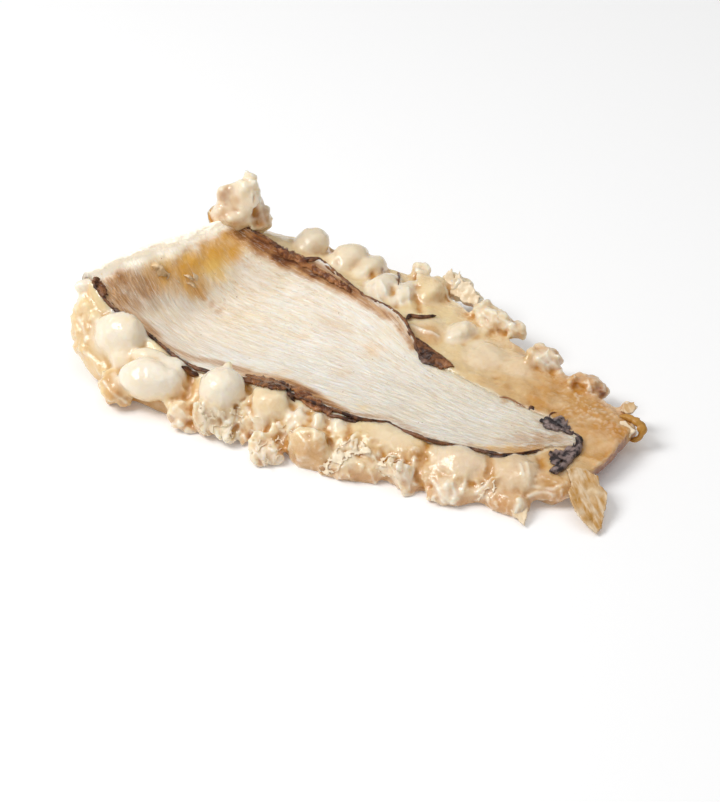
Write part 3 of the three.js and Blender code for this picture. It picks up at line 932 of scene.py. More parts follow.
# where a point lies on the sheet: along 0 to 1, and across 0 at the front edge to 1 at the back edge
def sheetMap():
    along, across = np.meshgrid(np.linspace(0, 1, 161), np.linspace(0, 1, 81), indexing="ij")
    spots = topAt(along.ravel(), across.ravel())
    return pointTree(spots), along.ravel(), across.ravel()


surfaceTree, surfaceAlong, surfaceAcross = sheetMap()


def onSheet(points):
    nearest = [surfaceTree.find(point)[1] for point in points.tolist()]
    return surfaceAlong[nearest], surfaceAcross[nearest]


def underLining(along, across):     # 1 where the lining covers the body
    share = sheet["borderShare"]
    level = (across - share) / (1 - 2 * share) * 2 - 1
    front = level - np.interp(along, *panel["frontLimit"])
    back = np.interp(along, *panel["backLimit"]) - level
    inside = smoothStep(0.0, 0.06, np.minimum(front, back))
    return inside * (1 - smoothStep(0.925, 0.94, along))


def spotMask(points, surfaces, spots):
    mask = np.zeros(len(points))
    for pixel, radius, strength in spots:
        spot = onSurface(surfaces, pixel)[0]
        distance = np.linalg.norm(points - np.array(spot), axis=1)
        mask = np.maximum(mask, strength * (1 - smoothStep(0.25 * radius, 1.25 * radius, distance)))
    return mask


def joinedUp(spots, steps):      # more spots between the given ones
    values = np.array([(*pixel, radius, strength) for pixel, radius, strength in spots])
    run = np.linspace(0, len(values) - 1, (len(values) - 1) * steps + 1)
    filled = np.stack([np.interp(run, np.arange(len(values)), column) for column in values.T], axis=1)
    return [((x, y), radius, strength) for x, y, radius, strength in filled]


def lobeMilk(points):
    milky = np.zeros(len(points))
    for side in ("front", "back"):
        for pixel, height, sizes, turn, milk in gel[side + "Lobes"]:
            place = np.array(pixelFrame(side, pixel, height, turn).inverted())
            local = (points @ place[:3, :3].T + place[:3, 3]) / np.array(sizes)
            near = 1 - smoothStep(0.95, 1.3, np.linalg.norm(local, axis=1))
            milky = np.maximum(milky, near * milk * smoothStep(-0.75, 0.15, local[:, 2]))
    return milky


gelLook = {
    "blotchScale": 160.0,
    "wrinkleScale": 600.0,
    "clear": (237, 211, 163),
    "deep": (200, 138, 50),
    "cloud": (246, 231, 198),
    "cloudShare": 0.22,
    # the stain brown is also painted shade, on the narrow end's faces that look down
    "layers": {"milk": (247, 236, 219), "ridge": (251, 244, 230), "stainAndShade": (140, 76, 34)},
    "wet": (0.1, 0.28),       # roughness, from the smooth to the wrinkled places
    "matteRoughness": 0.25,
    "bump": (0.4, 0.0006),
    "shader": {"Coat Weight": 0.5, "Coat Roughness": 0.05, "Subsurface Weight": 0.7,
               "Subsurface Radius": (1.0, 0.85, 0.55), "Subsurface Scale": 0.0035, "IOR": 1.42},
}


def makeGelMaterial():
    material, shader = newMaterial("wetGel")
    tree = material.node_tree
    flesh = addFleshGrain(tree, gelLook["blotchScale"], gelLook["wrinkleScale"])
    cloud = sums(tree, "MULTIPLY", remap(tree, flesh["Blotch"], 0.4, 0.68), gelLook["cloudShare"])
    # amber layer: the gel's own amber, and painted shade in hollows, grooves and near the floor
    base = mixColour(tree, readValue(tree, "amber"), srgb(*gelLook["clear"]), srgb(*gelLook["deep"]))
    base = mixColour(tree, cloud, base, srgb(*gelLook["cloud"]))
    for name, colour in gelLook["layers"].items():
        base = mixColour(tree, readValue(tree, name), base, srgb(*colour))
    join(tree, base, shader.inputs["Base Color"])
    wet = remap(tree, flesh["Wrinkle"], 0.3, 0.7, *gelLook["wet"])
    matte = sums(tree, "MULTIPLY", readValue(tree, "matte"), gelLook["matteRoughness"])
    join(tree, sums(tree, "ADD", wet, matte), shader.inputs["Roughness"])
    join(tree, bumpNode(tree, flesh["Wrinkle"], *gelLook["bump"]), shader.inputs["Normal"])
    setInputs(shader, gelLook["shader"])
    return material


gelWaves = {      # kind of noise, height, size, seed, octaves, and how far it sinks the whole
    "swell": (grain, 0.4, 9, 1, 2, 0.0),
    "ripple": (grain, 0.18, 3.0, 2, 2, 0.0),
    "narrowSwell": (grain, 0.4, 5.0, 7, 3, 0.0),
    "tornSwell": (grain, 0.6, 6.0, 4, 3, 0.0),
    "tornCreases": (crumple, 2.0, 10.0, 3, 2, 0.95),
    "fineCreases": (crumple, 0.75, 3.6, 33, 2, 0.34),
    "flapCreases": (crumple, 1.3, 5.0, 23, 2, 0.4),
    "fleckGrain": (grain, 1.0, 1.3, 41, 2, 0.0),
    "fatGrain": (grain, 0.7, 2.8, 5, 3, 0.2),
    "lipSwell": (grain, 1.0, 6.0, 6, 2, 0.0),
    "lineBreaks": (grain, 0.6, 5.0, 31, 2, -0.8),
    "milkClouds": (grain, 0.25, 6.0, 19, 3, -0.9),
    "narrowClouds": (grain, 0.35, 11.0, 10, 2, -0.9),
    "amberSmear": (grain, 1.2, 3.0, 8, 2, 0.0),
    "paleSmear": (grain, 1.5, 4.0, 24, 2, 0.0),
    "pools": (grain, 1.0, 6.0, 12, 3, 0.0),
    "stainGrain": (grain, 0.5, 2.0, 9, 2, -0.75),
}

gelZones = {      # where each zone of the body fades in; reach is 0 at the rims and 1 at the edges
    "tornFrontReach": (0.62, 0.95), "tornFrontAlong": (0.36, 0.42),
    "tornBackReach": (0.7, 0.98), "tornBackAlong": (0.42, 0.52),
    "bandReach": (0.25, 0.5), "bandAlong": (0.42, 0.5),
    "flapHeight": (33, 37), "fatReach": (0.3, 0.6), "fatEnd": (0.1, 0.18),
    "lipEnd": (0.03, 0.06), "lipHeight": (18, 24), "narrowSwell": (0.5, 0.62),
    "fleckGrain": (0.16, 0.34), "gapCovered": (0.3, 1.0), "gapLevel": (0.0, 0.25), "gapTop": (2.0, 3.5),
    "low": (0.5, 8.0), "hollow": (0.1, 1.2), "hollowMilk": (0.0, 0.8), "pit": (0.03, 0.4),
    "flapPit": (0.02, 0.3), "fine": (0.04, 0.3), "narrow": (0.6, 0.9), "pools": (-0.05, 0.45),
    "shadedAlong": (0.88, 0.95), "shadedSlope": (-0.4, 0.05), "shadedReach": (0.3, 0.6),
}

gelShares = {     # how strongly each zone shows in the shape and in the tones
    "tornFlap": 0.7, "lobeSmooth": 2.2, "lobeSmoothMost": 0.9, "fleckHeight": 0.2,
    "shadeInHollows": 0.85, "shadeInFineHollows": 0.3, "shadeNearFloor": 0.75, "shadeInTornPits": 0.35, "amberTorn": 0.1,
    "shadeInGrooves": 0.6, "shadeInFlapPits": 0.5, "amberSpots": 0.8, "narrowFront": 0.6, "narrowBack": 0.95,
    "pools": 0.3, "poolsLow": 0.5, "amberMilk": 0.5, "amberPale": 0.6,
    "ridge": 0.3, "ridgeTorn": 0.25, "ridgeFolds": 0.6, "ridgeFlecks": 0.28,
    "lipPaleAndLit": 0.9, "milkFat": 0.1, "milkFlap": 0.6, "milkTorn": 0.25, "milkPale": 0.8, "milkSpots": 0.6,
    "matteTorn": 0.6, "matteFlap": 0.6, "shaded": 0.95,
}


def wave(points, name, waves=gelWaves):
    kind, height, size, seed, octaves, sink = waves[name]
    return height * kind(points, size, seed, octaves) - sink


def zone(name, values, zones=gelZones):
    return smoothStep(*zones[name], values)


def buildSkin():      # everything in one skin, with fewer points where nothing shows
    bm = bmesh.new()
    for addPart in (addSheet, addLobesAndCrags, addFat, addFlaps, addCrumbs):
        addPart(bm)
    mesh = remeshed(bm, gel["voxel"])
    moveVertices(mesh, relax(mesh, vertexArray(mesh), gel["blendRounds"]))
    points = vertexArray(mesh)
    upward = vertexArray(mesh, "normal")[:, 2]
    along, across = onSheet(points)
    below = (upward < gel["undersideSlope"]) & (points[:, 2] < gel["undersideHeight"])
    hidden = below | ((underLining(along, across) > 0.99) & (upward > 0))
    total = triangleCount(mesh)
    print("skin of", total, "triangles,", int(hidden.sum()), "points hidden of", len(points))
    if total > gel["triangles"]:
        mesh = evaluatedMesh(mesh, "thinned", "DECIMATE", {"ratio": gel["triangles"] / total}, hidden)
    return mesh


def gelAreas(mesh):      # masks over the body, from 0 to 1
    points = vertexArray(mesh)
    along, across = onSheet(points)
    share = sheet["borderShare"]
    reach = np.maximum(1 - across / share, (across - 1 + share) / share)
    front = across < 0.5
    tornFront = zone("tornFrontReach", reach) * zone("tornFrontAlong", along)
    tornBack = zone("tornBackReach", reach) * zone("tornBackAlong", along)
    flap = zone("flapHeight", points[:, 2])
    fatty = zone("fatReach", reach) * front * (1 - zone("fatEnd", along))
    milk = lobeMilk(points) * np.clip(wave(points, "milkClouds"), 0, 1)
    rough = 1 - np.clip(gelShares["lobeSmooth"] * milk, 0, gelShares["lobeSmoothMost"])
    torn = np.maximum(np.where(front, tornFront, tornBack), flap * gelShares["tornFlap"]) * rough
    band = front * zone("bandAlong", along) * zone("bandReach", reach) * rough
    lip = (1 - zone("lipEnd", along)) * zone("lipHeight", points[:, 2]) * (1 - flap)
    covered = underLining(along, across)
    bare = [meshSurface(mesh)]
    folds = lineMask(points, bare, gel["folds"], gel["foldWidth"]) * (1 - covered)
    grooves = lineMask(points, bare, gel["grooves"], gel["grooveWidth"]) * (1 - covered)
    flecks = spotMask(points, bare, gel["fleckSpots"]) * zone("fleckGrain", wave(points, "fleckGrain"))
    return SimpleNamespace(along=along, across=across, reach=reach, front=front, flap=flap, fatty=fatty,
                           milk=milk, torn=torn, ragged=np.maximum(torn, band), lip=lip, covered=covered,
                           folds=folds, grooves=grooves, flecks=flecks)


def shapeGel(mesh, area):      # swells, creases and folds, then room for the lining
    points = vertexArray(mesh)
    push = wave(points, "swell") + wave(points, "ripple")
    push += zone("narrowSwell", area.along) * (1 - area.milk) * wave(points, "narrowSwell")
    push += area.ragged * (wave(points, "tornSwell") + wave(points, "tornCreases"))
    push += area.ragged * wave(points, "fineCreases")
    push += area.flap * wave(points, "flapCreases")
    push += gelShares["fleckHeight"] * area.flecks
    push += area.fatty * wave(points, "fatGrain")
    push += area.lip * wave(points, "lipSwell")
    push += area.folds * gel["foldHeight"] - area.grooves * gel["grooveDepth"]
    points = points + vertexArray(mesh, "normal") * (push * (1 - area.covered))[:, None]
    share = sheet["borderShare"]
    level = np.clip((area.across - share) / (1 - 2 * share) * 2 - 1, -1.05, 1.05)
    upward = panelNormal(area.along, level)
    above = ((points - panelAt(area.along, level)) * upward).sum(1)
    deep = zone("gapCovered", area.covered) * zone("gapLevel", 1 - np.abs(level))
    gap = gel["liningGap"] + gel["deepGap"] * deep
    sunk = np.maximum(0, above + gap) * area.covered * (1 - zone("gapTop", above))
    points -= upward * sunk[:, None]
    points[:, 2] = np.maximum(points[:, 2], 0.0)
    moveVertices(mesh, points)
    return points


def toneGel(mesh, area, points, surface):      # attributes that the material reads
    shares = gelShares
    normals = vertexArray(mesh, "normal")
    hollow, pit, fine = (((relax(mesh, points, rounds) - points) * normals).sum(1)
                         for rounds in gel["hollowRounds"])
    low = 1 - zone("low", points[:, 2])
    # painted shade as amber: in wide and fine hollows, near the floor, in the pits of torn parts, in grooves
    # and in the flap's pits; the narrow end's amber is the gel's own tone, and the random amber pools show
    # on ragged parts and near the floor
    amber = zone("hollow", hollow) * shares["shadeInHollows"] + zone("fine", fine) * shares["shadeInFineHollows"]
    amber += shares["shadeNearFloor"] * low
    amber += (zone("pit", pit) * shares["shadeInTornPits"] + shares["amberTorn"]) * area.ragged
    amber += shares["shadeInGrooves"] * area.grooves
    amber += shares["shadeInFlapPits"] * area.flap * zone("flapPit", pit)
    amber += zone("narrow", area.along) * np.where(area.front, shares["narrowFront"], shares["narrowBack"]) \
        * wave(points, "narrowClouds")
    amber += zone("pools", wave(points, "pools")) * shares["pools"] \
        * np.maximum(area.ragged, shares["poolsLow"] * low)
    smeared = points + normals * wave(points, "amberSmear")[:, None]
    spots = shares["amberSpots"] * spotMask(smeared, surface, gel["amberSpots"])
    smeared = points + normals * wave(points, "paleSmear")[:, None]
    paleHere = spotMask(smeared, surface, gel["paleSpots"])
    clear = (1 - shares["amberMilk"] * area.milk) * (1 - area.lip) * (1 - shares["amberPale"] * paleHere)
    keepValue(mesh, "amber", np.maximum(amber, spots) * clear)
    # paler on the crests, more so on torn parts: painted light on the crests, with the pale torn tissue;
    # also pale folds and flecks
    crest = zone("fine", -fine) * (shares["ridge"] + shares["ridgeTorn"] * area.ragged)
    keepValue(mesh, "ridge", np.maximum.reduce([crest, shares["ridgeFolds"] * area.folds,
                                                shares["ridgeFlecks"] * area.flecks]))
    keepValue(mesh, "matte", np.maximum.reduce([area.fatty, area.torn * shares["matteTorn"],
                                                area.flap * shares["matteFlap"]]))
    # the lip is paler also as painted light through the thin wall
    pale = np.maximum.reduce([area.milk, area.lip * shares["lipPaleAndLit"], area.fatty * shares["milkFat"],
                              area.flap * shares["milkFlap"], area.torn * shares["milkTorn"],
                              paleHere * shares["milkPale"]])
    # less milky in the hollows: painted shade
    keepValue(mesh, "milk", pale * (1 - zone("hollowMilk", hollow)) * (1 - shares["milkSpots"] * spots))
    # brown stain spots, and painted shade on the narrow end's faces that look down, both in the stain brown
    stainAndShade = spotMask(points, surface, gel["stains"]) * wave(points, "stainGrain")
    shaded = zone("shadedAlong", area.along) * zone("shadedSlope", -normals[:, 2])
    shaded *= shares["shaded"] * (1 - zone("shadedReach", area.reach))
    keepValue(mesh, "stainAndShade", np.maximum(stainAndShade, shaded))


def makeGelBody():
    mesh = buildSkin()
    area = gelAreas(mesh)
    points = shapeGel(mesh, area)
    surface = [meshSurface(mesh)]
    toneGel(mesh, area, points, surface)
    body = makePiece("gelBody", mesh, makeGelMaterial())
    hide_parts("stockfish_belly")
    return surface


surfaces = makeGelBody()


liningLook = {
    "fibreStretch": (0.08, 1.0, 1.0),
    "coarse": (55.0, 4.0, 0.6, 1.6),      # noise: scale, detail, roughness, warp
    "fine": (230.0, 3.0, 0.65, 1.2),
    "blotchScale": 55.0,
    "wrinkleScale": 700.0,
    "cream": ((246, 230, 206), (254, 250, 242)),
    "blotch": (243, 225, 192),
    "gelTone": (240, 220, 186),
    "lipPaleAndGlow": (253, 245, 230),
    "amber": ((212, 156, 64), (238, 200, 116)),
    "grey": (212, 178, 136),
    "tan": ((172, 112, 60), (216, 168, 112)),
    "dark": ((84, 36, 10), (146, 84, 38)),
    "whiteFibreAndGlint": (254, 250, 241),
    "fibreGap": (202, 160, 110),
    "fleck": (150, 105, 62),
    "lipGlow": (255, 240, 214),           # light through the thin end wall
    "amberGlow": (226, 166, 74),
    "amberGlowShare": 0.55,
    "amberBrownCover": 0.85,                   # how far the amber and brown, stains and painted shade alike, hide the white fibres
    "roughness": (0.34, 0.5),
    "bump": (1.0, 0.0009),
    "shader": {"Emission Strength": 0.36, "Specular IOR Level": 0.3, "Subsurface Weight": 0.2,
               "Subsurface Radius": (1.0, 0.6, 0.3), "Subsurface Scale": 0.003},
}


def blend(tree, share, pair):
    return mixColour(tree, share, srgb(*pair[0]), srgb(*pair[1]))


def makePanelMaterial():
    look = liningLook
    material, shader = newMaterial("fibrousLining")
    tree = material.node_tree
    coords = tree.nodes.new("ShaderNodeUVMap").outputs["UV"]
    stretch = tree.nodes.new("ShaderNodeMapping")
    stretch.inputs["Scale"].default_value = look["fibreStretch"]
    join(tree, coords, stretch.inputs["Vector"])
    fibres = stretch.outputs["Vector"]
    coarse = noiseNode(tree, fibres, *look["coarse"])
    fine = noiseNode(tree, fibres, *look["fine"])
    flesh = addFleshGrain(tree, look["blotchScale"], look["wrinkleScale"])
    blotch = flesh["Blotch"]
    base = blend(tree, remap(tree, coarse, 0.3, 0.7), look["cream"])
    base = mixColour(tree, remap(tree, blotch, 0.45, 0.7, 0.0, 0.35), base, srgb(*look["blotch"]))
    for name in ("gelTone", "lipPaleAndGlow"):
        base = mixColour(tree, readValue(tree, name), base, srgb(*look[name]))
    # amber: the lining's own amber, and painted shade on the end wall and towards the broad end
    amberTone = blend(tree, remap(tree, blotch, 0.35, 0.65), look["amber"])
    base = mixColour(tree, readValue(tree, "amber"), base, amberTone)
    base = mixColour(tree, readValue(tree, "grey"), base, srgb(*look["grey"]))
    for name, low, high in (("tan", 0.0, 0.8), ("dark", 0.6, 1.0)):
        tone = blend(tree, remap(tree, coarse, 0.35, 0.65), look[name])
        base = mixColour(tree, remap(tree, readValue(tree, "brown"), low, high), base, tone)
    amberAndBrown = sums(tree, "MAXIMUM", readValue(tree, "amber"), readValue(tree, "brown"))
    clear = sums(tree, "SUBTRACT", 1.0, sums(tree, "MULTIPLY", amberAndBrown, look["amberBrownCover"]))
    # white fibres, with painted glints along them
    white = sums(tree, "MULTIPLY", remap(tree, fine, 0.53, 0.66, 0.0, 0.85), clear)
    base = mixColour(tree, white, base, srgb(*look["whiteFibreAndGlint"]))
    base = mixColour(tree, remap(tree, fine, 0.43, 0.3, 0.0, 0.42), base, srgb(*look["fibreGap"]))
    base = mixColour(tree, remap(tree, flesh["Fleck"], 0.74, 0.8, 0.0, 0.6), base, srgb(*look["fleck"]))
    join(tree, base, shader.inputs["Base Color"])
    # painted light: the lip and the amber parts of the end wall glow, as light through the thin wall
    glow = mixColour(tree, readValue(tree, "lipPaleAndGlow"), srgb(0, 0, 0), srgb(*look["lipGlow"]))
    amberGlow = sums(tree, "MULTIPLY", readValue(tree, "amber"), look["amberGlowShare"])
    glow = mixColour(tree, amberGlow, glow, srgb(*look["amberGlow"]))
    join(tree, glow, shader.inputs["Emission Color"])
    join(tree, remap(tree, fine, 0.3, 0.7, *look["roughness"]), shader.inputs["Roughness"])
    height = sums(tree, "ADD", sums(tree, "MULTIPLY", coarse, 0.5), sums(tree, "MULTIPLY", fine, 0.5))
    join(tree, bumpNode(tree, height, *look["bump"]), shader.inputs["Normal"])
    setInputs(shader, look["shader"])
    return material


liningWaves = {      # as for the body
    "sway": (grain, 3.0, 17, 14, 2, 0.0),
    "fibres": (grain, 0.24, 1.1, 11, 3, 0.0),
    "fineFibres": (grain, 0.15, 0.5, 12, 2, 0.0),
    "sag": (grain, 0.45, 14, 13, 2, 0.0),
    "wallFolds": (grain, 0.7, 6.0, 15, 2, 0.0),
    "tipFibres": (grain, 0.5, 2.2, 16, 2, 0.0),
    "frayed": (grain, 1.5, 6.0, 17, 3, 0.0),
    "endLip": (grain, 0.4, 9.0, 18, 2, -0.9),
    "blur": (grain, 1.0, 6, 21, 3, 0.0),
    "streak": (grain, 1.0, 1, 22, 3, 0.0),
}

liningZones = {      # where along the piece each zone of the lining fades in
    "wall": (0.12, 0.2), "tip": (0.8, 0.9), "frayed": (0.0, 0.04), "bareBack": (0.62, 0.68),
    "bareFront": (0.84, 0.88), "leftEndShade": (0.22, 0.42), "grey": (0.8, 0.92), "gelTone": (0.8, 1.0),
    "outside": (-0.022, -0.006), "top": (0.026, 0.096),
}


def bareEdge(along, level):      # 1 where the lining's edge runs into the body without a dark rim
    back = zone("bareBack", along, liningZones)
    return np.where(level > 0, back, zone("bareFront", along, liningZones))


def panelColours(along, level, points, lining):     # shares of amber, brown and grey over the lining
    blur = wave(points, "blur", liningWaves)
    streak = wave(np.stack([along * 14, level * 13, 0 * level], axis=1), "streak", liningWaves)

    def smear(size):
        return points + np.stack([size[0] * streak, size[1] * blur, 0 * blur], axis=1)

    amber = spotMask(smear(panel["amberSmear"]), lining, panel["amberSpots"]) * (0.9 + 0.25 * blur)
    bands = [spot for band in panel["brownBands"] for spot in joinedUp(band, panel["bandSteps"])]
    brown = spotMask(smear(panel["brownSmear"]), lining, panel["brownSpots"] + bands) * (0.95 + 0.2 * blur)
    # painted shade: a warm amber over the lining towards the broad end
    amber = np.maximum(amber, panel["leftEndShade"] * (1 - zone("leftEndShade", along, liningZones)))
    grey = zone("grey", along + 0.02 * blur, liningZones) * (0.45 + 0.8 * streak)
    smudgeAlong, smudgeLevel, smudgeLong, smudgeWide, smudgeShare = panel["smudge"]
    fromSmudge = ((along - smudgeAlong) / smudgeLong) ** 2 + ((level - smudgeLevel) / smudgeWide) ** 2
    smudge = smudgeShare * np.exp(-fromSmudge)
    gelTone = zone("gelTone", np.abs(level) + 0.12 * blur, liningZones) * bareEdge(along, level)
    outside = 1 - zone("outside", along, liningZones)      # the hem rolled over the broad end
    top = zone("top", along + 0.014 * blur + 0.006 * streak, liningZones)
    return {"amber": amber * top, "brown": brown * (0.25 + 0.75 * top), "grey": np.maximum(grey, smudge),
            "gelTone": np.maximum(gelTone, outside), "lipPaleAndGlow": (1 - top) * (1 - outside)}


def makeFibrePanel():
    bm = bmesh.new()
    bmesh.ops.create_grid(bm, x_segments=panel["stepsAlong"], y_segments=panel["stepsAcross"], size=0.5)
    spots = np.array([vert.co for vert in bm.verts])
    share = spots[:, 0] + 0.5
    level = spots[:, 1] * 2                                     # -1 at the front rim, 1 at the back rim
    start = panel["startAlong"] + 0.014 * lineNoise(level * 30, 7, 3.3)
    along = start + (panel["endAlong"] - start) * share
    length = along * panel["lengthScale"]
    frontLimit = np.interp(along, *panel["frontLimit"]) + panel["ragged"] * lineNoise(length, 3.0, 1.7)
    backLimit = np.interp(along, *panel["backLimit"]) + panel["ragged"] * lineNoise(length, 3.0, 8.1)
    across = frontLimit + (backLimit - frontLimit) * (level + 1) / 2
    pattern = np.stack([length, across * panel["acrossScale"], np.zeros(len(across))], axis=1)
    sway = np.stack([0 * length, wave(pattern, "sway", liningWaves), 0 * length], axis=1)
    streaks = (pattern + sway) / np.array((panel["fibreLength"], 1.0, 1.0))
    wallPattern = pattern / np.array((panel["wallFoldLength"], 1.0, 1.0))
    relief = wave(streaks, "fibres", liningWaves) + wave(streaks, "fineFibres", liningWaves)
    relief += wave(pattern, "sag", liningWaves)
    relief += (1 - zone("wall", along, liningZones)) * wave(wallPattern, "wallFolds", liningWaves)
    relief += zone("tip", along, liningZones) * wave(streaks, "tipFibres", liningWaves)
    relief += (1 - zone("frayed", along, liningZones)) * wave(pattern, "frayed", liningWaves)
    endLip = np.exp(-((along - panel["endLipAlong"]) / panel["endLipWidth"]) ** 2)
    relief += panel["endLip"] * endLip * wave(pattern, "endLip", liningWaves)
    edge = np.exp(-((1 - np.abs(level)) / panel["lipWidth"]) ** 2)
    bare = bareEdge(along, level)
    lipHeight = panel["lipHeight"] * (1 + 0.6 * lineNoise(length, 4.0, 5.0))
    lip = edge * (lipHeight * (1 - bare) - panel["bareSink"] * bare)
    normals = panelNormal(along, across)
    rolled = np.maximum(0, -along) * panel["lengthScale"]
    points = panelAt(along, across) + normals * (panel["lift"] + relief + lip)[:, None]
    points += rolled[:, None] * np.array(panel["rollOut"])
    points[:, 2] -= panel["rollDrop"] * (rolled / (-panel["startAlong"] * panel["lengthScale"])) ** 2
    for vert, point in zip(bm.verts, points):
        vert.co = point
    rimEdges = [edge for edge in bm.edges if edge.is_boundary]
    hem = bmesh.ops.extrude_edge_only(bm, edges=rimEdges)["geom"]
    hemVerts = [item for item in hem if isinstance(item, bmesh.types.BMVert)]
    bmesh.ops.translate(bm, vec=(0, 0, -panel["skirt"]), verts=hemVerts)
    bmesh.ops.recalc_face_normals(bm, faces=bm.faces[:])
    mesh = meshFrom(bm, "fibrePanel")

    extra = len(mesh.vertices) - len(points)
    surfaces.append(meshSurface(mesh))
    for name, values in panelColours(along, level, points, surfaces[-1:]).items():
        keepValue(mesh, name, np.concatenate([values, np.full(extra, values.mean())]))
    flat = np.concatenate([pattern[:, :2] / 100, np.zeros((extra, 2))])
    corners = np.empty(len(mesh.loops), np.int32)
    mesh.loops.foreach_get("vertex_index", corners)
    fibreMap = mesh.uv_layers.new(name="fibreMap")
    fibreMap.data.foreach_set("uv", np.ascontiguousarray(flat[corners], np.float32).ravel())
    return makePiece("fibrePanel", mesh, makePanelMaterial())


makeFibrePanel()

# dark membrane: rolled edges of the lining, the curl at the tip and a few peeled bits
membrane = {
    "spacing": 0.45,
    "round": 12,
    "frontWidths": ((0.05, 0.08, 0.15, 0.2, 0.26, 0.32, 0.37, 0.44, 0.47, 0.5, 0.53, 0.58, 0.62, 0.66, 0.7,
                     0.74, 0.8, 0.84, 0.87, 0.9),
                    (1.6, 1.1, 0.9, 1.3, 1.5, 1.0, 0.7, 2.0, 2.4, 1.9, 1.3, 1.6, 1.1, 0.9, 0.9,
                     1.5, 1.1, 0.8, 0.5, 0.4)),
    "backWidths": ((0.06, 0.15, 0.22, 0.27, 0.3, 0.36, 0.42, 0.5, 0.58, 0.62),
                   (0.8, 0.9, 1.4, 1.5, 1.1, 1.6, 1.3, 0.8, 1.2, 1.4)),
    "thickness": 1.2,
    "rims": [            # side, where along the piece it starts and ends, seed, blackness
        ("front", 0.05, 0.9, 2.0, 0.45),
        ("back", 0.055, 0.635, 5.0, 0.3),
    ],
    "blotchScale": 330.0,
    "wrinkleScale": 900.0,
    "colours": [         # brown, dark brown and black, each from its dark to its light blotches; the black's light blotches are a painted silver sheen
        ((108, 58, 28), (172, 114, 66)),
        ((54, 29, 17), (122, 76, 42)),
        ((38, 30, 33), (146, 128, 124)),
    ],
    "patchLift": 0.35,
    "strands": [         # pixels along each strand, lift, width, thickness, wrinkle, blackness
        ([(579, 437), (578, 445), (574, 454), (567, 463), (558, 470),
          (549, 472)], 0.4, 2.8, 2.6, 0.2, 0.9),
        ([(581, 440), (577, 436), (570, 433), (562, 430)], 0.2, 1.3, 1.0, 0.2, 0.8),
        ([(406, 321), (410, 317), (418, 318), (427, 318), (436, 317)], 0.6, 1.4, 1.2, 0.2, 0.5),
        ([(529, 410), (531, 407), (534, 410)], 0.0, 1.4, 0.8, 0.3, 0.6),
        ([(549, 416), (553, 413), (557, 413)], 0.1, 0.8, 0.7, 0.3, 0.3),
        ([(181, 367), (190, 372), (199, 376)], 0.3, 2.2, 1.6, 0.3, 0.4),
        ([(398, 286), (399, 278), (398, 272)], 0.0, 0.7, 0.6, 0.3, 0.5),
        ([(414, 338), (424, 345), (436, 354), (454, 368)], 0.4, 1.2, 1.0, 0.25, 0.3),
        ([(281, 385), (288, 392), (295, 402)], 0.1, 1.4, 1.0, 0.3, 0.5),
        ([(326, 415), (338, 417), (350, 420), (363, 421)], 0.1, 1.4, 1.0, 0.3, 0.5),
        ([(499, 397), (508, 398), (516, 402), (526, 408)], 0.0, 0.7, 0.5, 0.3, 0.2),
        ([(489, 457), (505, 456), (522, 454), (541, 450)], 0.1, 0.9, 0.8, 0.25, 0.8),
    ],
    "patches": [         # outline in pixels, blackness at the first and at the other corners, raggedness
        ([(540, 421), (545, 417), (553, 418), (560, 417), (566, 421), (570, 428), (573, 434),
          (565, 433), (558, 431), (551, 431), (545, 428)], 0.9, 0.9, 2.6),
        ([(548, 453), (556, 451), (563, 451), (570, 446), (575, 444), (571, 455), (563, 462),
          (556, 467), (550, 463)],
         0.8, 0.9, 1.8),
        ([(421, 363), (416, 350), (413, 337), (420, 343), (430, 350), (442, 359), (455, 368),
          (445, 369), (433, 367)],
         0.8, 0.2, 0.8),
        ([(333, 412), (331, 416), (318, 413), (306, 407), (297, 399), (288, 386), (298, 388),
          (310, 395), (322, 403)],
         0.3, 0.0, 1.6),
        ([(292, 391), (278, 391), (262, 388), (247, 384), (245, 376), (258, 378), (272, 380), (288, 384)],
         0.4, 0.25, 1.8),
        ([(278, 253), (276, 247), (292, 252), (310, 262), (330, 274), (352, 288), (350, 293),
          (331, 283), (312, 272), (294, 262)], 0.05, 0.12, 1.8),
        ([(92, 276), (98, 277), (104, 285), (108, 297), (103, 297), (97, 288)], 0.5, 0.3, 1.2),
    ],
    "patchLook": {"step": 0.5, "thick": 0.5, "relief": 0.45, "creaseScale": 0.5, "open": 0.0},
}


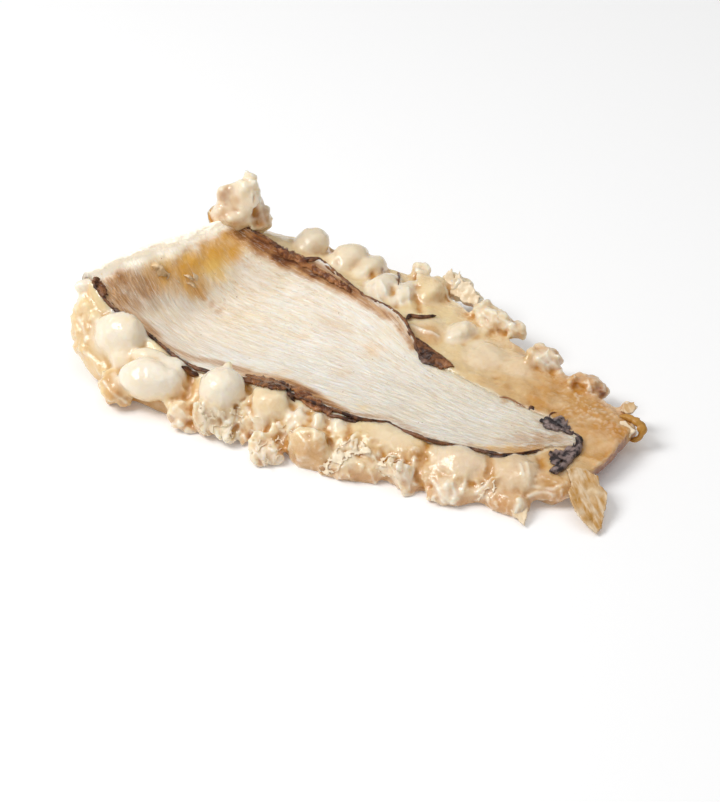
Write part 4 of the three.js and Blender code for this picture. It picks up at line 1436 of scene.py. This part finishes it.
def addStrand(bm, line, widths, thick, seed, tone, wrinkle=0.35, blunt=5):
    count = len(line)
    toneLayer = bm.verts.layers.float[tone[0]]
    tangent = np.gradient(line, axis=0)
    tangent /= np.linalg.norm(tangent, axis=1, keepdims=True)
    sideways = np.cross(tangent, (0, 0, 1))
    sideways /= np.linalg.norm(sideways, axis=1, keepdims=True)
    up = np.cross(sideways, tangent)
    run = np.arange(count) * membrane["spacing"]
    swell = 1 + 1.4 * wrinkle * lineNoise(run, 5.0, seed) + 0.8 * wrinkle * lineNoise(run, 1.6, seed + 4)
    fromEnd = np.minimum(np.arange(count), count - 1 - np.arange(count))
    taper = np.sqrt(np.clip(fromEnd / blunt, 0.02, 1))
    half = widths * np.clip(swell, 0.4, 1.8) * taper / 2
    flat = np.minimum(thick, 2 * half) * taper / 2
    grid = bmesh.ops.create_grid(bm, x_segments=count - 1, y_segments=membrane["round"], size=0.5)["verts"]
    for vert in grid:
        row = round((vert.co.x + 0.5) * (count - 1))
        turn = (vert.co.y + 0.5) * 2 * math.pi
        out = sideways[row] * math.cos(turn) * half[row] + up[row] * math.sin(turn) * flat[row]
        point = Vector(line[row] + out)
        creaseSpot = (run[row] * 0.12, math.cos(turn) * 1.6, math.sin(turn) * 1.6 + seed)
        crease = noise.fractal(creaseSpot, 1.0, 2.0, 3)
        crease += 0.4 * noise.fractal(point * 0.7, 1.0, 2.0, 3)
        vert.co = point + Vector(out) * wrinkle * 2.0 * crease
        vert[toneLayer] = tone[1]
    bmesh.ops.remove_doubles(bm, verts=grid, dist=0.01)


def rimLine(limits, startAlong, endAlong, lift):
    along = np.arange(startAlong, endAlong, membrane["spacing"] / panel["lengthScale"])
    across = np.interp(along, *limits)
    return along, panelAt(along, across) + panelNormal(along, across) * lift


def pixelLine(pixels, lift):
    return throughPoints([onSurface(surfaces, pixel, lift)[0] for pixel in pixels], membrane["spacing"])


def addMembranePatches(bm):
    for outline, firstInk, restInk, ragged in membrane["patches"]:
        first = np.array(outline[0])
        span = np.ptp(np.array(outline), axis=0).max()

        def tone(pixel, depth):
            far = min(1.0, float(np.linalg.norm(np.array(pixel) - first)) / (0.6 * span))
            return {"ink": firstInk + (restInk - firstInk) * far}

        def place(pixel):
            return onSurface(surfaces, pixel, membrane["patchLift"])

        addPatch(bm, outline, place, tone, membrane["patchLook"] | {"ragged": ragged}, first[0] * 0.13)


def makeMembraneMaterial():
    material, shader = newMaterial("darkMembrane")
    tree = material.node_tree
    flesh = addFleshGrain(tree, membrane["blotchScale"], membrane["wrinkleScale"])
    spread = remap(tree, flesh["Blotch"], 0.38, 0.62)
    light, dark, black = (blend(tree, spread, pair) for pair in membrane["colours"])
    base = mixColour(tree, remap(tree, readValue(tree, "ink"), 0.0, 0.5), light, dark)
    base = mixColour(tree, remap(tree, readValue(tree, "ink"), 0.5, 1.0), base, black)
    join(tree, base, shader.inputs["Base Color"])
    join(tree, remap(tree, flesh["Wrinkle"], 0.3, 0.7, 0.2, 0.45), shader.inputs["Roughness"])
    join(tree, bumpNode(tree, flesh["Wrinkle"], 0.6, 0.0005), shader.inputs["Normal"])
    setInputs(shader, {"Specular IOR Level": 0.4})
    return material


def makeDarkRim():
    bm = bmesh.new()
    bm.verts.layers.float.new("ink")
    for name, startAlong, endAlong, seed, ink in membrane["rims"]:
        along, line = rimLine(panel[name + "Limit"], startAlong, endAlong, panel["lift"])
        widths = np.interp(along, *membrane[name + "Widths"])
        addStrand(bm, line, widths, membrane["thickness"], seed, ("ink", ink))
    for pixels, lift, width, thick, wrinkle, ink in membrane["strands"]:
        line = pixelLine(pixels, lift)
        addStrand(bm, line, np.full(len(line), width), thick, pixels[0][0] * 0.37, ("ink", ink), wrinkle, 3)
    addMembranePatches(bm)
    bmesh.ops.recalc_face_normals(bm, faces=bm.faces[:])
    mesh = meshFrom(bm, "darkRim")
    return makePiece("darkRim", mesh, makeMembraneMaterial())


makeDarkRim()

# torn shreds: thin flakes hanging from the outer edges, rooted at a pixel on the body
shreds = {
    # outline in pixels, three of its pixels with their heights, amber share, raggedness
    "leaves": [
        ([(566, 470), (575, 468), (586, 470), (590, 474), (598, 477), (599, 485), (608, 494),
          (606, 508), (603, 520),
          (602, 529), (596, 535), (586, 526), (577, 516), (571, 505), (568, 493), (571, 485)],
         ((566, 470), 9.5), ((596, 535), 0.8), ((608, 494), 5.5), 1.0, 0.8),
        ([(519, 497), (526, 502), (528, 511), (527, 519), (525, 527), (519, 522), (513, 515),
          (509, 510), (513, 503)],
         ((519, 497), 4.5), ((525, 527), 0.6), ((509, 510), 2.5), 0.1, 0.8),
        ([(619, 421), (626, 421), (632, 427), (637, 431), (632, 435), (629, 440), (624, 436), (621, 428)],
         ((619, 421), 10.0), ((637, 431), 8.5), ((629, 440), 6.0), 0.0, 0.6),
        ([(620, 412), (624, 405), (634, 403), (636, 409), (633, 414), (626, 415)],
         ((620, 412), 9.5), ((634, 403), 11.0), ((633, 414), 9.5), 0.8, 0.6),
        ([(446, 290), (444, 280), (446, 273), (452, 270), (455, 277), (460, 272), (464, 281),
          (470, 282), (474, 290), (481, 297), (478, 306), (468, 305), (458, 299)],
         ((446, 290), 14.0), ((452, 270), 19.0), ((481, 297), 14.0), 0.1, 2.0),
    ],
    "leafLook": {"step": 0.6, "thick": 0.9, "relief": 0.7, "creaseScale": 0.16, "open": 0.0},
    # outline in pixels of thin pale skin lying on the body, and how open its web is
    "laces": [
        ([(198, 402), (206, 408), (216, 409), (224, 411), (232, 407), (241, 406), (245, 416),
          (242, 428), (239, 440), (232, 446), (224, 443), (214, 438), (204, 434), (198, 424)], 0.8),
        ([(249, 441), (258, 438), (268, 441), (278, 436), (285, 442), (281, 454), (275, 464),
          (266, 468), (256, 461), (249, 452)], 0.85),
        ([(276, 424), (286, 423), (295, 426), (293, 436), (286, 446), (279, 440)], 0.85),
        ([(356, 438), (346, 441), (338, 447), (332, 455), (327, 461), (319, 464), (319, 470),
          (327, 475), (336, 472),
          (342, 465), (349, 459), (357, 457), (366, 458), (374, 455), (368, 446)], 0.5),
        ([(372, 454), (382, 452), (394, 456), (402, 462), (400, 472), (390, 478), (380, 475),
          (373, 466)], 0.85),
        ([(474, 486), (484, 482), (492, 478), (500, 484), (497, 494), (490, 500), (480, 503),
          (474, 497)], 0.85),
    ],
    "laceLook": {"step": 0.75, "thick": 0.4, "relief": 0.25, "creaseScale": 0.6, "ragged": 2.0},
    "curls": [               # pixels along small rolled shreds, width, thickness
        ([(151, 266), (157, 266), (163, 270), (168, 276), (166, 280)], 2.4, 1.8),
        ([(183, 275), (188, 276), (193, 281)], 1.6, 1.2),
        ([(186, 283), (191, 284), (196, 288)], 1.4, 1.0),
        ([(192, 272), (195, 276), (197, 281)], 1.2, 0.9),
        ([(176, 280), (181, 284)], 1.0, 0.8),
    ],
    "ring": [(618, 416), (626, 417), (634, 420), (641, 426), (642, 433), (637, 439), (629, 440)],
    "ringHeights": (9.5, 9.8, 9.6, 8.6, 7.0, 5.0, 3.6),
    "ringWidth": 2.4,
    "ringThickness": 3.4,
    "ringSeed": 4.0,
    "curlLift": 0.3,
    "laceLift": 0.1,
    "leafFloor": 0.6,        # the lowest a leaf's middle plane goes
    "blotchScale": 150.0,
    "wrinkleScale": 500.0,
    "cream": ((238, 212, 172), (246, 228, 198)),
    "amber": (190, 138, 62),
    "ridge": (248, 236, 212),
}


def makeShredMaterial():
    material, shader = newMaterial("tornShreds")
    tree = material.node_tree
    flesh = addFleshGrain(tree, shreds["blotchScale"], shreds["wrinkleScale"])
    base = blend(tree, remap(tree, flesh["Blotch"], 0.35, 0.68), shreds["cream"])
    for name in ("amber", "ridge"):
        base = mixColour(tree, readValue(tree, name), base, srgb(*shreds[name]))
    join(tree, base, shader.inputs["Base Color"])
    join(tree, remap(tree, flesh["Wrinkle"], 0.3, 0.7, 0.16, 0.36), shader.inputs["Roughness"])
    join(tree, bumpNode(tree, flesh["Wrinkle"], 0.4, 0.0006), shader.inputs["Normal"])
    setInputs(shader, {"IOR": 1.42})
    return material


def addLeaf(bm, outline, corners, amberShare, ragged):     # a thin torn sheet on the plane of three corners
    known = np.array([(*pixel, 1.0) for pixel, height in corners])
    slope = np.linalg.solve(known, np.array([height for pixel, height in corners]))
    facing = viewAxes()[2]

    def place(pixel):
        return photoSpot(pixel, max(shreds["leafFloor"], float(slope @ (*pixel, 1.0)))), facing

    def tone(pixel, depth):
        cloud = noise.fractal((pixel[0] * 0.07, pixel[1] * 0.07, 2.0), 1.0, 2.0, 3)
        across = 0.9 * pixel[0] - 0.42 * pixel[1]
        run = 0.42 * pixel[0] + 0.9 * pixel[1]
        streak = noise.fractal((across * 0.24, run * 0.05, 7.0), 1.0, 2.0, 4)
        hem = 1 - min(depth, 2.0) / 2
        pale = float(smoothStep(-0.2, 0.8, np.float64(streak + 0.5 * cloud + 0.3 * hem)))
        amber = amberShare * min(1.0, max(0.0, 0.85 + 0.8 * cloud))
        return {"amber": amber * (1 - 0.4 * pale), "ridge": 0.4 * pale}

    addPatch(bm, outline, place, tone, shreds["leafLook"] | {"ragged": ragged}, outline[0][0] * 0.1)


def addLace(bm, outline, openShare):
    def place(pixel):
        return onSurface(surfaces[:1], pixel, shreds["laceLift"])

    def tone(pixel, depth):
        return {"ridge": 0.5, "amber": 0.0}

    addPatch(bm, outline, place, tone, shreds["laceLook"] | {"open": openShare}, outline[0][0] * 0.1)


def makeTornShreds():
    bm = bmesh.new()
    bm.verts.layers.float.new("ridge")
    bm.verts.layers.float.new("amber")
    for outline, openShare in shreds["laces"]:
        addLace(bm, outline, openShare)
    for outline, *corners, amberShare, ragged in shreds["leaves"]:
        addLeaf(bm, outline, corners, amberShare, ragged)
    ring = [photoSpot(pixel, height) for pixel, height in zip(shreds["ring"], shreds["ringHeights"])]
    line = throughPoints(ring, membrane["spacing"])
    widths = np.full(len(line), shreds["ringWidth"])
    addStrand(bm, line, widths, shreds["ringThickness"], shreds["ringSeed"], ("amber", 1.0), 0.3)
    for pixels, width, thick in shreds["curls"]:
        line = pixelLine(pixels, shreds["curlLift"])
        addStrand(bm, line, np.full(len(line), width), thick, pixels[0][0] * 0.4, ("amber", 0.3), 0.8, 4)
    mesh = meshFrom(bm, "tornShreds")
    return makePiece("tornShreds", mesh, makeShredMaterial())


makeTornShreds()

# floor and light
white = (1.0, 1.0, 1.0, 1.0)
stage = {
    "floorSize": 6.0,
    "skyStrength": 0.26,
    "shader": {"Base Color": (0.95, 0.95, 0.95, 1.0), "Roughness": 0.6, "Emission Color": white,
               "Emission Strength": 0.09},
}


def addFloor():
    bm = bmesh.new()
    bmesh.ops.create_grid(bm, x_segments=2, y_segments=2, size=stage["floorSize"] / 2)
    mesh = meshFrom(bm, "floor")
    material, shader = newMaterial("paleFloor")
    setInputs(shader, stage["shader"])
    mesh.materials.append(material)
    floor = bpy.data.objects.new("floor", mesh)
    scene.collection.objects.link(floor)


lamps = {
    "key": {"from": (-0.6, -0.5, 0.95), "size": 0.55, "power": 9.4},
    "top": {"from": (0.1, 0.3, 1.2), "size": 1.2, "power": 4.0},
    "front": {"from": (0.7, -0.8, 0.7), "size": 1.0, "power": 1.4},
    "spark": {"from": (-0.25, -0.55, 1.0), "size": 0.12, "power": 0.9},
}


def addLamps():
    for name, lamp in lamps.items():
        data = bpy.data.lights.new(name, "AREA")
        data.shape = "SQUARE"
        data.size = lamp["size"]
        data.energy = lamp["power"]
        light = bpy.data.objects.new(name, data)
        light.location = lamp["from"]
        light.rotation_euler = (-Vector(lamp["from"])).to_track_quat("-Z", "Y").to_euler()
        scene.collection.objects.link(light)
    world = bpy.data.worlds.new("studio")
    world.use_nodes = True
    setInputs(world.node_tree.nodes["Background"], {"Color": white, "Strength": stage["skyStrength"]})
    scene.world = world


addFloor()
addLamps()
scene.view_settings.view_transform = "Standard"
print("stage set")
